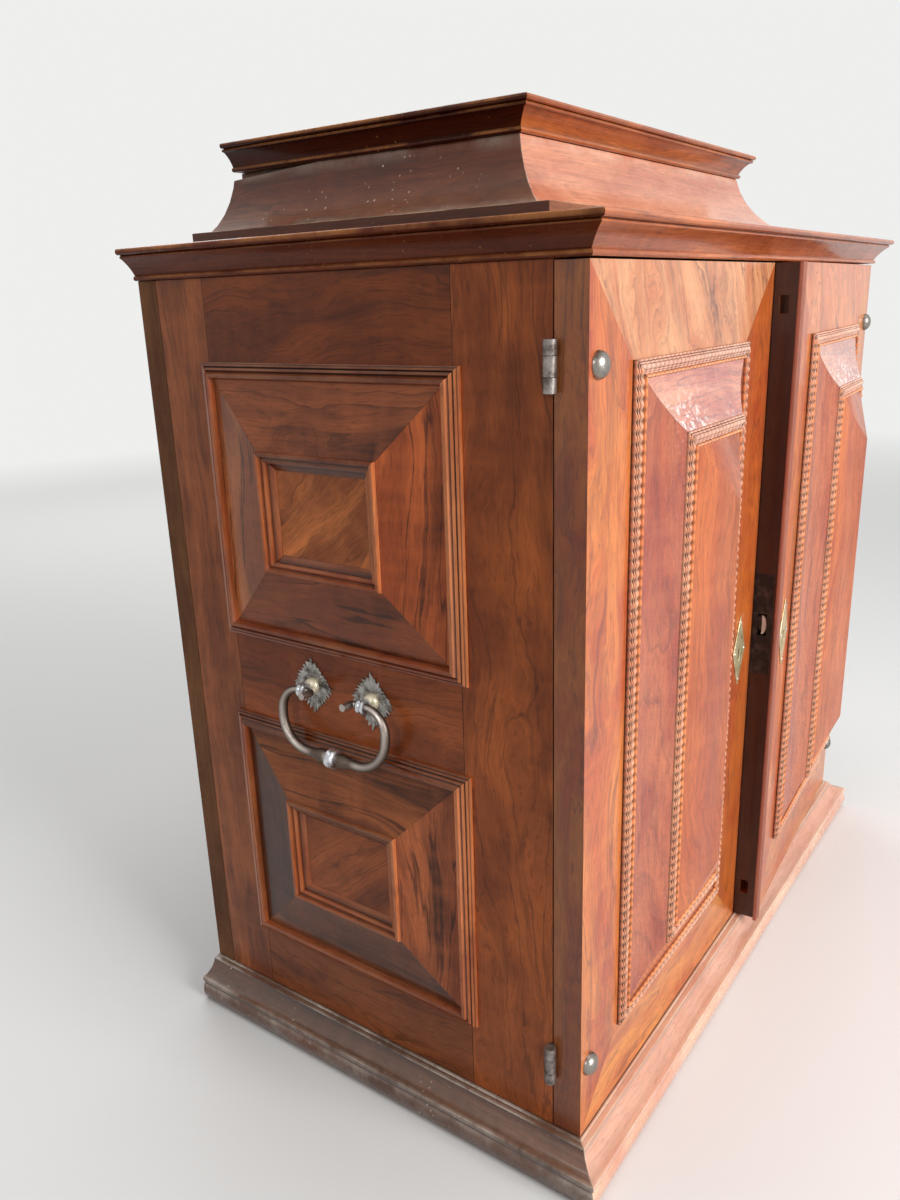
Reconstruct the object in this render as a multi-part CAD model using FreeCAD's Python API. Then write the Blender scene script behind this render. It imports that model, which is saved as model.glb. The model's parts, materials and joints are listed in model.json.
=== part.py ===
import FreeCAD, Part
import math
import os

# Baroque table cabinet in walnut with two ripple-framed pillow doors, a stepped and
# coved top, framed side panels and iron drop handles.
# Lengths are millimetres and angles degrees. +Z is up, the doors face -Y and the
# origin lies on the floor under the middle of the cabinet's outline.
# Up to the last section the carcass front is the plane y = 0, with x = 0 in the middle.

Vector = FreeCAD.Vector
X_AXIS = Vector(1, 0, 0)
Y_AXIS = Vector(0, 1, 0)
Z_AXIS = Vector(0, 0, 1)
ZERO = Vector(0, 0, 0)
QUARTER_TURN = 90.0
HALF_TURN = 180.0
FULL_TURN = 360.0

# Carcass
CARCASS_W = 758.0
CARCASS_D = 431.0
SIDE_T = 22.0
BACK_T = 24.5
BACK_BOARDS = 3
BOARD_GAP = 0.6
BOTTOM_BOARD_T = 20.0
SHELF_T = 16.0
SHELF_SETBACK = 4.0
BATTEN_SIZE = 14.0
BATTEN_SETBACK = 30.0

# Doors, as high as the rails and panels of the side walls together
DOOR_T = 26.0
DOOR_BACK_GAP = 1.0
DOOR_END_GAP = 1.5
MEETING_GAP = 1.2
RIGHT_DOOR_ANGLE = 3.5

# Door face: flat border, ripple frame, hollow sloping band, ripple frame, hipped panel
DOOR_BORDER = 68.5
OUTER_RIPPLE_W = 14.0
OUTER_RIPPLE_H = 7.0
DOOR_BAND_W = 44.0
DOOR_BAND_H = 20.6
INNER_RIPPLE_W = 14.0
INNER_RIPPLE_H = 26.0
RIPPLE_PITCH = 8.15
RIPPLE_DEPTH = 1.5
RIPPLE_REED_H = 4.5
HIP_EDGE_H = 23.5
HIP_RIDGE_H = 44.0

# Side walls: visible widths of the frame and size of the two panels
FRONT_STILE_W = 77.0
BACK_STILE_W = 53.5
TOP_RAIL_H = 69.0
MIDDLE_RAIL_H = 81.0
BOTTOM_RAIL_H = 66.0
PANEL_H = 252.0
PANEL_T = 14.0
TONGUE_T = 6.0
TONGUE_DEPTH = 8.0
MOULD_LAP = 7.0
SIDE_MOULD_W = 14.0
SIDE_MOULD_H = 9.0
SIDE_PILLOW_W = 58.5
SIDE_PILLOW_H = 16.0
FIELD_MOULD_W = 16.0
FIELD_MOULD_H = 20.0
FIELD_H = 10.0

# Base and top, as projections from the side faces and the closed doors' front
BASE_H = 44.0
BASE_OUT = 28.0
BASE_RAIL_W = 60.0
CORNICE_H = 27.5
CORNICE_OUT = 21.0
STEP_H = 15.0
STEP_IN = 69.0
STEP_W = 21.0
COVE_RUN = 41.0
COVE_H = 57.5
COVE_TOP_W = 18.0
TRAY_BACK_T = 16.0
EDGE_LOSS_L = 110.0
EDGE_LOSS_H = 7.0
LID_GAP = 0.4
LID_H = 25.0
LID_OUT = 17.0

# Door hinges: barrels outside the side joints, leaves let into door and carcass
HINGE_Z = 68.0
HINGE_H = 36.0
BARREL_R = 5.0
PIN_R = 2.2
PIN_PLAY = 0.07
BARREL_CLEAR = 0.4
LEAF_T = 1.8
LEAF_W = 22.0
KNUCKLE_GAP = 0.4
DOOR_KNUCKLE_H = 14.0
STUD_R = 12.0
STUD_H = 8.0
STUD_TOP_R = 1.6
STUD_TANG_W = 5.0
STUD_X = 14.0

# Lid hinges
LID_HINGE_X = 150.0
LID_HINGE_W = 44.0
LID_BARREL_R = 4.0
LID_PIN_R = 1.8
LID_LEAF_T = 1.6
LID_LEAF_H = 18.0

# Lock in the right door, strike in the left one, lozenge escutcheons on both
LOCK_DROP = 2.0
LOCK_PLATE_H = 112.0
LOCK_PLATE_W = 20.0
LOCK_PLATE_T = 1.6
LOCK_CASE_H = 84.0
LOCK_CASE_D = 62.0
LOCK_CASE_T = 14.0
LOCK_WALL = 2.4
BOLT_H = 23.0
BOLT_L = 46.0
BOLT_PLAY = 0.3
BOLT_THROW = 9.0
BOLT_REST_DEPTH = 0.5
BOLT_NOSE_R = 6.0
STRIKE_H = 48.0
STRIKE_SPARE = 3.0
ESCUTCHEON_DROP = 20.0
ESCUTCHEON_IN = 38.0
ESCUTCHEON_H = 76.0
ESCUTCHEON_W = 34.0
ESCUTCHEON_T = 1.5
KEYHOLE_R = 2.7
KEYHOLE_SLOT_W = 2.8
KEYHOLE_SLOT_H = 11.0
KEYHOLE_DEPTH = 5.0
BOLT_POCKET_H = 17.0
BOLT_POCKET_T = 9.0
BOLT_POCKET_DEPTH = 20.0
BOLT_POCKET_END = 38.0

# Meeting strip on the right door's free edge
ASTRAGAL_W = 16.0
ASTRAGAL_T = 5.0
ASTRAGAL_LAP = 5.0
ASTRAGAL_CLEAR = 0.3

# Drop handles on the middle rails of both sides
HANDLE_ON_RAIL = 46.0
HANDLE_PITCH = 70.0
ROSETTE_H = 57.0
ROSETTE_W = 50.0
ROSETTE_T = 1.8
ROSETTE_TOOTH = 2.2
ROSETTE_TEETH = 10
POST_DOME_R = 8.0
POST_DOME_H = 7.0
POST_TOP_R = 3.7
POST_NECK_R = 3.2
POST_TANG_W = 5.0
POST_TANG_L = 18.0
EYE_R = 5.0
EYE_T = 5.0
BAIL_R = 3.3
EYE_PLAY = 0.1
BAIL_SHOULDER_OUT = 25.5
BAIL_DROP = 57.0
BAIL_SHOULDER_R = 15.0
BAIL_ARM_L = 12.0
BAIL_END_OUT = 14.0
BAIL_END_IN = 13.0
BAIL_END_BEND_R = 5.0
BAIL_RING_R = 9.3
BAIL_RING_W = 8.0
BAIL_SWELL_R = 5.6
BAIL_SWELL_L = 22.0
BAIL_CLEAR = 0.7
BAIL_ANGLE = 5.0

# A cut runs this far past the faces it opens
OVERRUN = 5.0

# Small round ironwork has this many flats, and small beads this many chords
ROUND_SIDES = 12
DOME_RINGS = 3
BEND_CHORDS = 4
END_BEND_CHORDS = 2
BEAD_CHORDS = 3
HOLLOW_CHORDS = 5

# Levels and planes worked out from the sizes above
DOOR_H = TOP_RAIL_H + MIDDLE_RAIL_H + BOTTOM_RAIL_H + 2 * PANEL_H
DOOR_Z = BASE_H + DOOR_END_GAP
TOP_Z = DOOR_Z + DOOR_H + DOOR_END_GAP
DECK_Z = TOP_Z + CORNICE_H
COVE_Z = DECK_Z + STEP_H
COVE_TOP_Z = COVE_Z + COVE_H
LID_Z = COVE_TOP_Z + LID_GAP
FRONT_Y = -(DOOR_BACK_GAP + DOOR_T)
BACK_Y = CARCASS_D
SIDE_BACK_Y = CARCASS_D - BACK_T
HALF_W = CARCASS_W / 2
DOOR_W = HALF_W - MEETING_GAP / 2
DOOR_MID_X = -(HALF_W - DOOR_W / 2)
DOOR_MID_Z = DOOR_Z + DOOR_H / 2
PANEL_FRONT_Y = FRONT_STILE_W
PANEL_BACK_Y = SIDE_BACK_Y - BACK_STILE_W
PANEL_W = PANEL_BACK_Y - PANEL_FRONT_Y
PANEL_MID_Y = (PANEL_FRONT_Y + PANEL_BACK_Y) / 2
LOW_PANEL_Z = DOOR_Z + BOTTOM_RAIL_H + PANEL_H / 2
HIGH_PANEL_Z = LOW_PANEL_Z + PANEL_H + MIDDLE_RAIL_H
PANEL_MID_ZS = [LOW_PANEL_Z, HIGH_PANEL_Z]
COVE_FOOT_IN = STEP_IN + STEP_W
COVE_TOP_IN = COVE_FOOT_IN + COVE_RUN
TRAY_IN = COVE_TOP_IN + COVE_TOP_W
HINGE_AXIS_X = -(HALF_W + BARREL_R + BARREL_CLEAR)
HINGE_AXIS_Y = -DOOR_BACK_GAP / 2
HINGE_ZS = [DOOR_Z + HINGE_Z, DOOR_Z + DOOR_H - HINGE_Z]
LID_AXIS_Y = BACK_Y + LID_BARREL_R + BARREL_CLEAR
LID_AXIS_Z = LID_Z - LID_GAP / 2
LOCK_Z = DOOR_MID_Z - LOCK_DROP
HANDLE_Z = LOW_PANEL_Z + PANEL_H / 2 + HANDLE_ON_RAIL
BAIL_LEAN = BAIL_DROP * math.sin(math.radians(BAIL_ANGLE))
POST_AXIS_OUT = SIDE_MOULD_H + BAIL_RING_R + BAIL_CLEAR - BAIL_LEAN

# Outlines as shares of a piece's width and height. Two numbers are a corner, four are
# an arc: a point that it passes and the point where it ends.
SQUARE_SHARES = [(0, 0), (1, 0), (1, 1), (0, 1)]
BASE_SHARES = [
    (0, 0), (0.85, 0), (1.0, 0.24, 0.93, 0.46), (0.87, 0.49), (0.87, 0.53), (0.97, 0.55),
    (0.97, 0.66), (0.52, 0.745, 0.29, 0.94), (0.29, 0.97), (0.09, 0.97), (0.09, 1.0), (0, 1.0),
]
CORNICE_SHARES = [
    (0, 0), (0.12, 0), (0.22, 0.08, 0.12, 0.16), (0.43, 0.475, 0.80, 0.71), (0.80, 0.75),
    (0.74, 0.775), (0.80, 0.80), (1.0, 0.895, 0.86, 1.0), (0, 1.0),
]
COVE_SHARES = [(0, 0), (1, 0), (0.55, 0.42, 0.305, 1), (0, 1)]
LID_SHARES = [
    (0, 0), (0.10, 0), (0.22, 0.085, 0.10, 0.17), (0.35, 0.45, 0.72, 0.68),
    (0.86, 0.73, 0.76, 0.79), (0.70, 0.80), (0.76, 0.82), (1.0, 0.90, 0.86, 1.0), (0, 1.0),
]
SIDE_MOULD_SHARES = [
    (0, 0), (1, 0), (1, 0.62), (0.79, 1.0, 0.58, 0.62), (0.54, 0.58), (0.42, 0.76, 0.32, 0.46),
    (0.28, 0.42), (0.19, 0.56, 0.10, 0.34), (0, 0.26),
]
SIDE_PILLOW_SHARES = [(0, 0), (1, 0), (1, 1), (0, 0.22)]
FIELD_MOULD_SHARES = [
    (0, 0), (1, 0), (1, 0.50), (0.62, 0.66), (0.47, 0.86, 0.32, 0.82), (0.28, 0.84),
    (0.13, 1.0, 0, 0.84),
]
RIPPLE_SHARES = [(0, 0), (1, 0), (1, 0.60), (0.89, 0.92, 0.78, 0.66), (0.78, 0.52), (0, 0.46)]
INNER_RIPPLE_SHARES = [
    (0, 0), (1, 0), (1, 0.92), (0.89, 0.99, 0.78, 0.93), (0.72, 0.90), (0.39, 1.0, 0.06, 0.90),
    (0, 0.88),
]
RIPPLE_REED_SHARES = (0.06, 0.72)
DOOR_BAND_SHARES = [(0, 0), (1, 0), (1, 1), (0.5, 0.47, 0, 0.19)]
SWELL_SHARES = [(-1, 0.62), (-0.8, 0.78), (-0.5, 1.0), (0.5, 1.0), (0.8, 0.78), (1, 0.62)]
RING_SHARES = [(-0.5, 0.66), (-0.28, 0.95), (0, 1.0), (0.28, 0.95), (0.5, 0.66)]
ASTRAGAL_SHARES = [
    (0, 0), (1, 0), (1, 0.45), (0.86, 0.95, 0.72, 0.72), (0.68, 0.66), (0.48, 1.0, 0.28, 0.66),
    (0.24, 0.60), (0.12, 0.86, 0, 0.30),
]


def box(x0, x1, y0, y1, z0, z1):
    """Box between three pairs of planes."""
    return Part.makeBox(x1 - x0, y1 - y0, z1 - z0, Vector(x0, y0, z0))


def ring_corners(radius, centre, axis):
    """Corners of a near-round ring square to an axis, on the radius."""
    side = axis.cross(Z_AXIS if abs(axis.z) < axis.Length / 2 else X_AXIS).normalize()
    up = Vector(axis).normalize().cross(side)
    turns = [math.radians(FULL_TURN * index / ROUND_SIDES) for index in range(ROUND_SIDES)]
    return [centre + side * (radius * math.cos(turn)) + up * (radius * math.sin(turn)) for turn in turns]


def ruled_form(rings):
    """Solid with flat facets from each ring of corners to the next."""
    outlines = [rings[0], rings[-1]]
    for near, far in zip(rings, rings[1:]):
        outlines += [[near[k - 1], near[k], far[k], far[k - 1]] for k in range(ROUND_SIDES)]
    faces = [Part.Face(Part.makePolygon(corners + corners[:1])) for corners in outlines]
    return Part.makeSolid(Part.makeShell(faces))


def round_bar(radius, start, end):
    """Round bar from one point to another."""
    along = end.sub(start)
    return ruled_form([ring_corners(radius, start, along), ring_corners(radius, end, along)])


def bent_bar(radius, path):
    """Round bar through the points of a path, mitred at each turn."""
    corners = ring_corners(radius, path[0], path[1] - path[0])
    rings = [corners]
    for index in range(1, len(path)):
        along = (path[index] - path[index - 1]).normalize()
        ahead = (path[index + 1] - path[index]).normalize() if index + 1 < len(path) else along
        mitre_normal = along + ahead
        reach = along.dot(mitre_normal)
        corners = [c + along * ((path[index] - c).dot(mitre_normal) / reach) for c in corners]
        rings.append(corners)
    return ruled_form(rings)


def round_hole(radius, start, end):
    """Cutter for a round hole, its flats on the radius."""
    return round_bar(radius / math.cos(math.pi / ROUND_SIDES), start, end)


def turned_form(stations, start, axis):
    """Turned piece with rings at stations of distance along an axis and radius."""
    return ruled_form([ring_corners(radius, start + axis * way, axis) for way, radius in stations])


def dome(radius, height, top_radius, start, axis):
    """Low dome on a flat seat, flattened on top."""
    turns = [math.pi / 2 * index / DOME_RINGS for index in range(DOME_RINGS)]
    stations = [(height * math.sin(turn), radius * math.cos(turn)) for turn in turns]
    return turned_form(stations + [(height, top_radius)], start, axis)


def scaled(shares, length, radius):
    """Stations in millimetres from shares of a length and a radius."""
    return [(share * length, share_r * radius) for share, share_r in shares]


def moved(shape, x=0, y=0, z=0):
    copy = shape.copy()
    copy.translate(Vector(x, y, z))
    return copy


def turned(shape, axis, angle, centre=ZERO):
    copy = shape.copy()
    copy.rotate(centre, axis, angle)
    return copy


def mirrored(shape):
    """The same piece on the other side of the cabinet."""
    return shape.mirror(ZERO, X_AXIS)


def line_edge(start, end):
    return Part.LineSegment(start, end).toShape()


def chord_edges(arc, chords):
    points = arc.discretize(chords + 1)
    return [line_edge(a, b) for a, b in zip(points, points[1:])]


def outline_face(shares, size_a, size_b, axis_a, axis_b, corner, chords=0):
    """Flat face whose outline is given in shares of two sizes along two axes.

    Arcs stay true unless chords says how many straight parts each one gets.
    """
    def place(a, b):
        return corner + axis_a * (a * size_a) + axis_b * (b * size_b)

    edges = []
    start = place(*shares[0])
    for step in shares[1:] + [shares[0]]:
        end = place(*step[-2:])
        if len(step) == 2:
            edges.append(line_edge(start, end))
        else:
            arc = Part.Arc(start, place(*step[:2]), end).toShape()
            edges += chord_edges(arc, chords) if chords else [arc]
        start = end
    return Part.Face(Part.Wire(edges))


def plan_prism(points, z0, z1):
    """Upright prism over a polygon in plan."""
    corners = [Vector(x, y, z0) for x, y in points]
    return Part.Face(Part.makePolygon(corners + corners[:1])).extrude(Vector(0, 0, z1 - z0))


def moulding_run(length, width, height, shares, chords):
    """Straight moulding, its outer edge on the X axis, width along +Y, height along +Z."""
    start = Vector(-length / 2, 0, 0)
    profile = outline_face(shares, width, height, Y_AXIS, Z_AXIS, start, chords)
    return profile.extrude(Vector(length, 0, 0))


def ripple_reed(length, width, height):
    """Broad reed with ripples across it, a whole number from end to end."""
    count = max(1, round(length / RIPPLE_PITCH))
    half_pitch = length / count / 2
    y0, y1 = [share * width for share in RIPPLE_REED_SHARES]
    foot = height - RIPPLE_REED_H
    crest = [
        Vector(index * half_pitch - length / 2, y0, height - RIPPLE_DEPTH * (index % 2))
        for index in range(2 * count + 1)
    ]
    ends = [Vector(length / 2, y0, foot), Vector(-length / 2, y0, foot)]
    outline = Part.makePolygon(crest + ends + crest[:1])
    return Part.Face(outline).extrude(Vector(0, y1 - y0, 0))


def mitre(run, length, width, height):
    """Cut both ends of a moulding at 45 degrees."""
    half = length / 2
    inner = width + OVERRUN
    outer = half + OVERRUN
    plan = [(-outer, -OVERRUN), (outer, -OVERRUN), (half - inner, inner), (inner - half, inner)]
    return run.common(plan_prism(plan, -OVERRUN, height + OVERRUN))


def mitred_frame(across, up, width, height, shares, chords=BEAD_CHORDS, rippled=False):
    """Four mitred mouldings round a rectangle centred on the origin, faces towards +Z."""
    members = []
    for length in (across, up):
        run = moulding_run(length, width, height, shares, chords)
        if rippled:
            run = run.fuse(ripple_reed(length, width, height))
        members.append(mitre(run, length, width, height))
    rail = moved(members[0], y=-up / 2)
    stile = moved(members[1], y=-across / 2)
    return [
        rail,
        turned(rail, Z_AXIS, HALF_TURN),
        turned(stile, Z_AXIS, -QUARTER_TURN),
        turned(stile, Z_AXIS, QUARTER_TURN),
    ]


def on_front(shapes, x, y, z):
    """Turn pieces that face +Z to face -Y and set them at a point."""
    return [moved(turned(shape, X_AXIS, QUARTER_TURN), x, y, z) for shape in shapes]


def on_left(shapes, x, y, z):
    """Turn pieces that face +Z to face -X and set them at a point."""
    upright = [turned(shape, X_AXIS, QUARTER_TURN) for shape in shapes]
    return [moved(turned(shape, Z_AXIS, -QUARTER_TURN), x, y, z) for shape in upright]


def corner_point(out):
    """Plan point on the front left mitre line, at a projection from the cabinet's faces."""
    return (-HALF_W - out, FRONT_Y - out)


def wrap_front(shares, out_0, out_1, z0, height):
    """Front length of a moulding that wraps round the cabinet, mitred at both ends."""
    reach = HALF_W + max(abs(out_0), abs(out_1)) + OVERRUN
    start = Vector(-reach, FRONT_Y - out_0, z0)
    face = outline_face(shares, out_1 - out_0, height, -Y_AXIS, Z_AXIS, start, HOLLOW_CHORDS)
    left = [corner_point(out_0 - OVERRUN), corner_point(out_1 + OVERRUN)]
    right = [(-x, y) for x, y in reversed(left)]
    plan = plan_prism(left + right, z0 - OVERRUN, z0 + height + OVERRUN)
    return face.extrude(Vector(2 * reach, 0, 0)).common(plan)


def wrap_left(shares, out_0, out_1, z0, height):
    """Left length of the same moulding, mitred in front and flush with the back."""
    start = Vector(-HALF_W - out_0, BACK_Y, z0)
    face = outline_face(shares, out_1 - out_0, height, -X_AXIS, Z_AXIS, start, HOLLOW_CHORDS)
    length = BACK_Y - FRONT_Y + max(abs(out_0), abs(out_1)) + OVERRUN
    mitre = [corner_point(out_0 - OVERRUN), corner_point(out_1 + OVERRUN)]
    rear = [(x, BACK_Y + OVERRUN) for x, y in reversed(mitre)]
    plan = plan_prism(mitre + rear, z0 - OVERRUN, z0 + height + OVERRUN)
    return face.extrude(Vector(0, -length, 0)).common(plan)


def base_frame():
    """Softwood frame that carries the carcass and the base mouldings."""
    inner_x = HALF_W - BASE_RAIL_W
    front_y = FRONT_Y + BASE_RAIL_W
    rear_y = BACK_Y - BASE_RAIL_W
    side = box(-HALF_W, -inner_x, front_y, rear_y, 0, BASE_H)
    return [
        box(-HALF_W, HALF_W, FRONT_Y, front_y, 0, BASE_H),
        box(-HALF_W, HALF_W, rear_y, BACK_Y, 0, BASE_H),
        side,
        mirrored(side),
    ]


def bottom_board():
    return [box(SIDE_T - HALF_W, HALF_W - SIDE_T, 0, SIDE_BACK_Y, BASE_H, BASE_H + BOTTOM_BOARD_T)]


def top_board():
    """Board under the deck, wide enough to cover the closed doors."""
    return [box(-HALF_W, HALF_W, FRONT_Y, BACK_Y, TOP_Z, DECK_Z)]


def back_boards():
    """Upright back boards whose ends show as a narrow strip at the rear of the sides."""
    pitch = CARCASS_W / BACK_BOARDS
    boards = []
    for index in range(BACK_BOARDS):
        start = index * pitch - HALF_W
        end = start + pitch - (BOARD_GAP if index < BACK_BOARDS - 1 else 0)
        boards.append(box(start, end, SIDE_BACK_Y, BACK_Y, BASE_H, TOP_Z))
    return boards


def shelf_levels():
    """Undersides of the two shelves, which make three equal compartments."""
    clear = (TOP_Z - BASE_H - BOTTOM_BOARD_T - 2 * SHELF_T) / 3
    first = BASE_H + BOTTOM_BOARD_T + clear
    return [first, first + SHELF_T + clear]


def shelves():
    reach = HALF_W - SIDE_T
    return [box(-reach, reach, SHELF_SETBACK, SIDE_BACK_Y, z, z + SHELF_T) for z in shelf_levels()]


def shelf_battens():
    """Strips on the side walls that carry the shelf ends."""
    outer = HALF_W - SIDE_T
    strips = []
    for z in shelf_levels():
        strip = box(-outer, BATTEN_SIZE - outer, BATTEN_SETBACK, SIDE_BACK_Y, z - BATTEN_SIZE, z)
        strips += [strip, mirrored(strip)]
    return strips


def panel_tongue(mid_z):
    """Tongue round a side panel, which also cuts its groove in the frame."""
    half_w = PANEL_W / 2 - MOULD_LAP + TONGUE_DEPTH
    half_h = PANEL_H / 2 - MOULD_LAP + TONGUE_DEPTH
    y = PANEL_MID_Y
    x0 = (PANEL_T - TONGUE_T) / 2 - HALF_W
    return box(x0, x0 + TONGUE_T, y - half_w, y + half_w, mid_z - half_h, mid_z + half_h)


def handle_posts_y():
    return [PANEL_MID_Y - HANDLE_PITCH / 2, PANEL_MID_Y + HANDLE_PITCH / 2]


def left_frame():
    """Two stiles and three rails of the left side wall."""
    x1 = SIDE_T - HALF_W
    rail_y0 = PANEL_FRONT_Y + MOULD_LAP
    rail_y1 = PANEL_BACK_Y - MOULD_LAP
    opening = PANEL_H / 2 - MOULD_LAP
    pieces = [
        box(-HALF_W, x1, 0, rail_y0, BASE_H, TOP_Z),
        box(-HALF_W, x1, rail_y1, SIDE_BACK_Y, BASE_H, TOP_Z),
        box(-HALF_W, x1, rail_y0, rail_y1, BASE_H, LOW_PANEL_Z - opening),
        box(-HALF_W, x1, rail_y0, rail_y1, LOW_PANEL_Z + opening, HIGH_PANEL_Z - opening),
        box(-HALF_W, x1, rail_y0, rail_y1, HIGH_PANEL_Z + opening, TOP_Z),
    ]
    tools = [panel_tongue(z) for z in PANEL_MID_ZS]
    tools += [post_tang(0, POST_TANG_L, y) for y in handle_posts_y()]
    tools += [carcass_leaf_plate(z) for z in HINGE_ZS]
    for tool in tools:
        pieces = [piece.cut(tool) for piece in pieces]
    return pieces


def left_panels():
    """Tongued grounds of the two side panels, each with its raised square field."""
    half_w = PANEL_W / 2 - MOULD_LAP
    half_h = PANEL_H / 2 - MOULD_LAP
    field_in = SIDE_MOULD_W + SIDE_PILLOW_W + FIELD_MOULD_W
    field_w = PANEL_W / 2 - field_in
    field_h = PANEL_H / 2 - field_in
    y = PANEL_MID_Y
    panels = []
    for z in PANEL_MID_ZS:
        ground = box(-HALF_W, PANEL_T - HALF_W, y - half_w, y + half_w, z - half_h, z + half_h)
        field = box(-HALF_W - FIELD_H, -HALF_W, y - field_w, y + field_w, z - field_h, z + field_h)
        panels.append(ground.fuse([panel_tongue(z), field]).removeSplitter())
    return panels


def left_panel_frames(inset, width, height, shares):
    """Mitred frames on both left panels, this far inside the panel's outline."""
    members = mitred_frame(PANEL_W - 2 * inset, PANEL_H - 2 * inset, width, height, shares)
    placed = []
    for z in PANEL_MID_ZS:
        placed += on_left(members, -HALF_W, PANEL_MID_Y, z)
    return placed


def step_frame():
    """Flat step on the deck, under the foot of the cove."""
    front = wrap_front(SQUARE_SHARES, -TRAY_IN, -STEP_IN, DECK_Z, STEP_H)
    left = wrap_left(SQUARE_SHARES, -TRAY_IN, -STEP_IN, DECK_Z, STEP_H)
    reach = HALF_W - TRAY_IN
    back = box(-reach, reach, BACK_Y - TRAY_BACK_T, BACK_Y, DECK_Z, COVE_Z)
    return [front, left, mirrored(left), back]


def cove_left():
    """Left cove, with the worn loss along the rear end of its top edge."""
    whole = wrap_left(COVE_SHARES, -TRAY_IN, -COVE_FOOT_IN, COVE_Z, COVE_H)
    x0 = -HALF_W + COVE_FOOT_IN
    loss = [
        Vector(x0, BACK_Y + OVERRUN, COVE_TOP_Z + OVERRUN),
        Vector(x0, BACK_Y - EDGE_LOSS_L, COVE_TOP_Z + OVERRUN),
        Vector(x0, BACK_Y - EDGE_LOSS_L, COVE_TOP_Z),
        Vector(x0, BACK_Y, COVE_TOP_Z - EDGE_LOSS_H),
        Vector(x0, BACK_Y + OVERRUN, COVE_TOP_Z - EDGE_LOSS_H),
    ]
    edge_w = TRAY_IN - COVE_FOOT_IN - COVE_TOP_W / 2
    wedge = Part.Face(Part.makePolygon(loss + loss[:1])).extrude(Vector(edge_w, 0, 0))
    return whole.cut(wedge)


def cove_back():
    """Plain board that closes the hollow top behind."""
    reach = HALF_W - TRAY_IN
    return [box(-reach, reach, BACK_Y - TRAY_BACK_T, BACK_Y, COVE_Z, COVE_TOP_Z)]


def lid_board():
    reach = HALF_W - COVE_TOP_IN
    return [box(-reach, reach, FRONT_Y + COVE_TOP_IN, BACK_Y, LID_Z, LID_Z + LID_H)]


def lid_moulding(wrap):
    return wrap(LID_SHARES, -COVE_TOP_IN, LID_OUT - COVE_TOP_IN, LID_Z, LID_H)


def lid_knuckle(x, mine):
    """Barrel piece of one lid hinge: half of its width on the lid, half on the cove."""
    middle = KNUCKLE_GAP / 2
    half = LID_HINGE_W / 2
    return (x - half, x - middle) if mine == "lid" else (x + middle, x + half)


def lid_bar(radius, x0, x1):
    """Round bar on the lid's hinge line."""
    return round_bar(radius, Vector(x0, LID_AXIS_Y, LID_AXIS_Z), Vector(x1, LID_AXIS_Y, LID_AXIS_Z))


def lid_hinge_leaves(mine):
    """Leaves screwed to the back faces of the lid or of the cove board."""
    up = 1 if mine == "lid" else -1
    near = LID_AXIS_Z + up * (LID_BARREL_R + BARREL_CLEAR)
    far = LID_AXIS_Z + up * LID_LEAF_H
    leaves = []
    for x in (-LID_HINGE_X, LID_HINGE_X):
        half = LID_HINGE_W / 2
        y1 = BACK_Y + LID_LEAF_T
        x0, x1 = lid_knuckle(x, mine)
        leaf = box(x - half, x + half, BACK_Y, y1, min(near, far), max(near, far))
        tongue = box(x0, x1, BACK_Y, y1, min(near, LID_AXIS_Z), max(near, LID_AXIS_Z))
        leaf = leaf.fuse([tongue, lid_bar(LID_BARREL_R, x0, x1)])
        hole = round_hole(LID_PIN_R + PIN_PLAY, *[Vector(at, LID_AXIS_Y, LID_AXIS_Z) for at in (x0, x1)])
        leaves.append(leaf.cut(hole).removeSplitter())
    return leaves


def lid_hinge_pins():
    half = LID_HINGE_W / 2
    return [lid_bar(LID_PIN_R, x - half, x + half) for x in (-LID_HINGE_X, LID_HINGE_X)]


def leaf_box(y0, y1, mid_z):
    """Left hinge leaf let into wood, from the side face inwards."""
    return box(-HALF_W, LEAF_W - HALF_W, y0, y1, mid_z - HINGE_H / 2, mid_z + HINGE_H / 2)


def carcass_leaf_plate(mid_z):
    return leaf_box(0, LEAF_T, mid_z)


def door_leaf_plate(mid_z):
    return leaf_box(-DOOR_BACK_GAP - LEAF_T, -DOOR_BACK_GAP, mid_z)


def knuckled_leaf(plate, y0, y1, spans):
    """Leaf plate with a tongue and a bored barrel piece over each span of height."""
    leaf = plate
    for z0, z1 in spans:
        tongue = box(HINGE_AXIS_X, -HALF_W, y0, y1, z0, z1)
        foot = Vector(HINGE_AXIS_X, HINGE_AXIS_Y, z0)
        head = Vector(HINGE_AXIS_X, HINGE_AXIS_Y, z1)
        leaf = leaf.fuse([tongue, round_bar(BARREL_R, foot, head)])
        leaf = leaf.cut(round_hole(PIN_R + PIN_PLAY, foot, head))
    return leaf.removeSplitter()


def carcass_hinge_leaves():
    """Leaves let into the front stiles, with the outer barrel pieces."""
    leaves = []
    for z in HINGE_ZS:
        half = HINGE_H / 2
        inner = DOOR_KNUCKLE_H / 2 + KNUCKLE_GAP
        spans = [(z - half, z - inner), (z + inner, z + half)]
        leaf = knuckled_leaf(carcass_leaf_plate(z), 0, LEAF_T, spans)
        leaves += [leaf, mirrored(leaf)]
    return leaves


def left_door_hinge_leaves():
    """Leaves let into the back of the left door, with the middle barrel pieces."""
    half = DOOR_KNUCKLE_H / 2
    y1 = -DOOR_BACK_GAP
    return [knuckled_leaf(door_leaf_plate(z), y1 - LEAF_T, y1, [(z - half, z + half)]) for z in HINGE_ZS]


def door_hinge_pins():
    """Pins through the barrels of the door hinges."""
    pins = []
    for z in HINGE_ZS:
        foot = Vector(HINGE_AXIS_X, HINGE_AXIS_Y, z - HINGE_H / 2)
        head = Vector(HINGE_AXIS_X, HINGE_AXIS_Y, z + HINGE_H / 2)
        pin = round_bar(PIN_R, foot, head)
        pins += [pin, mirrored(pin)]
    return pins


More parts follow.
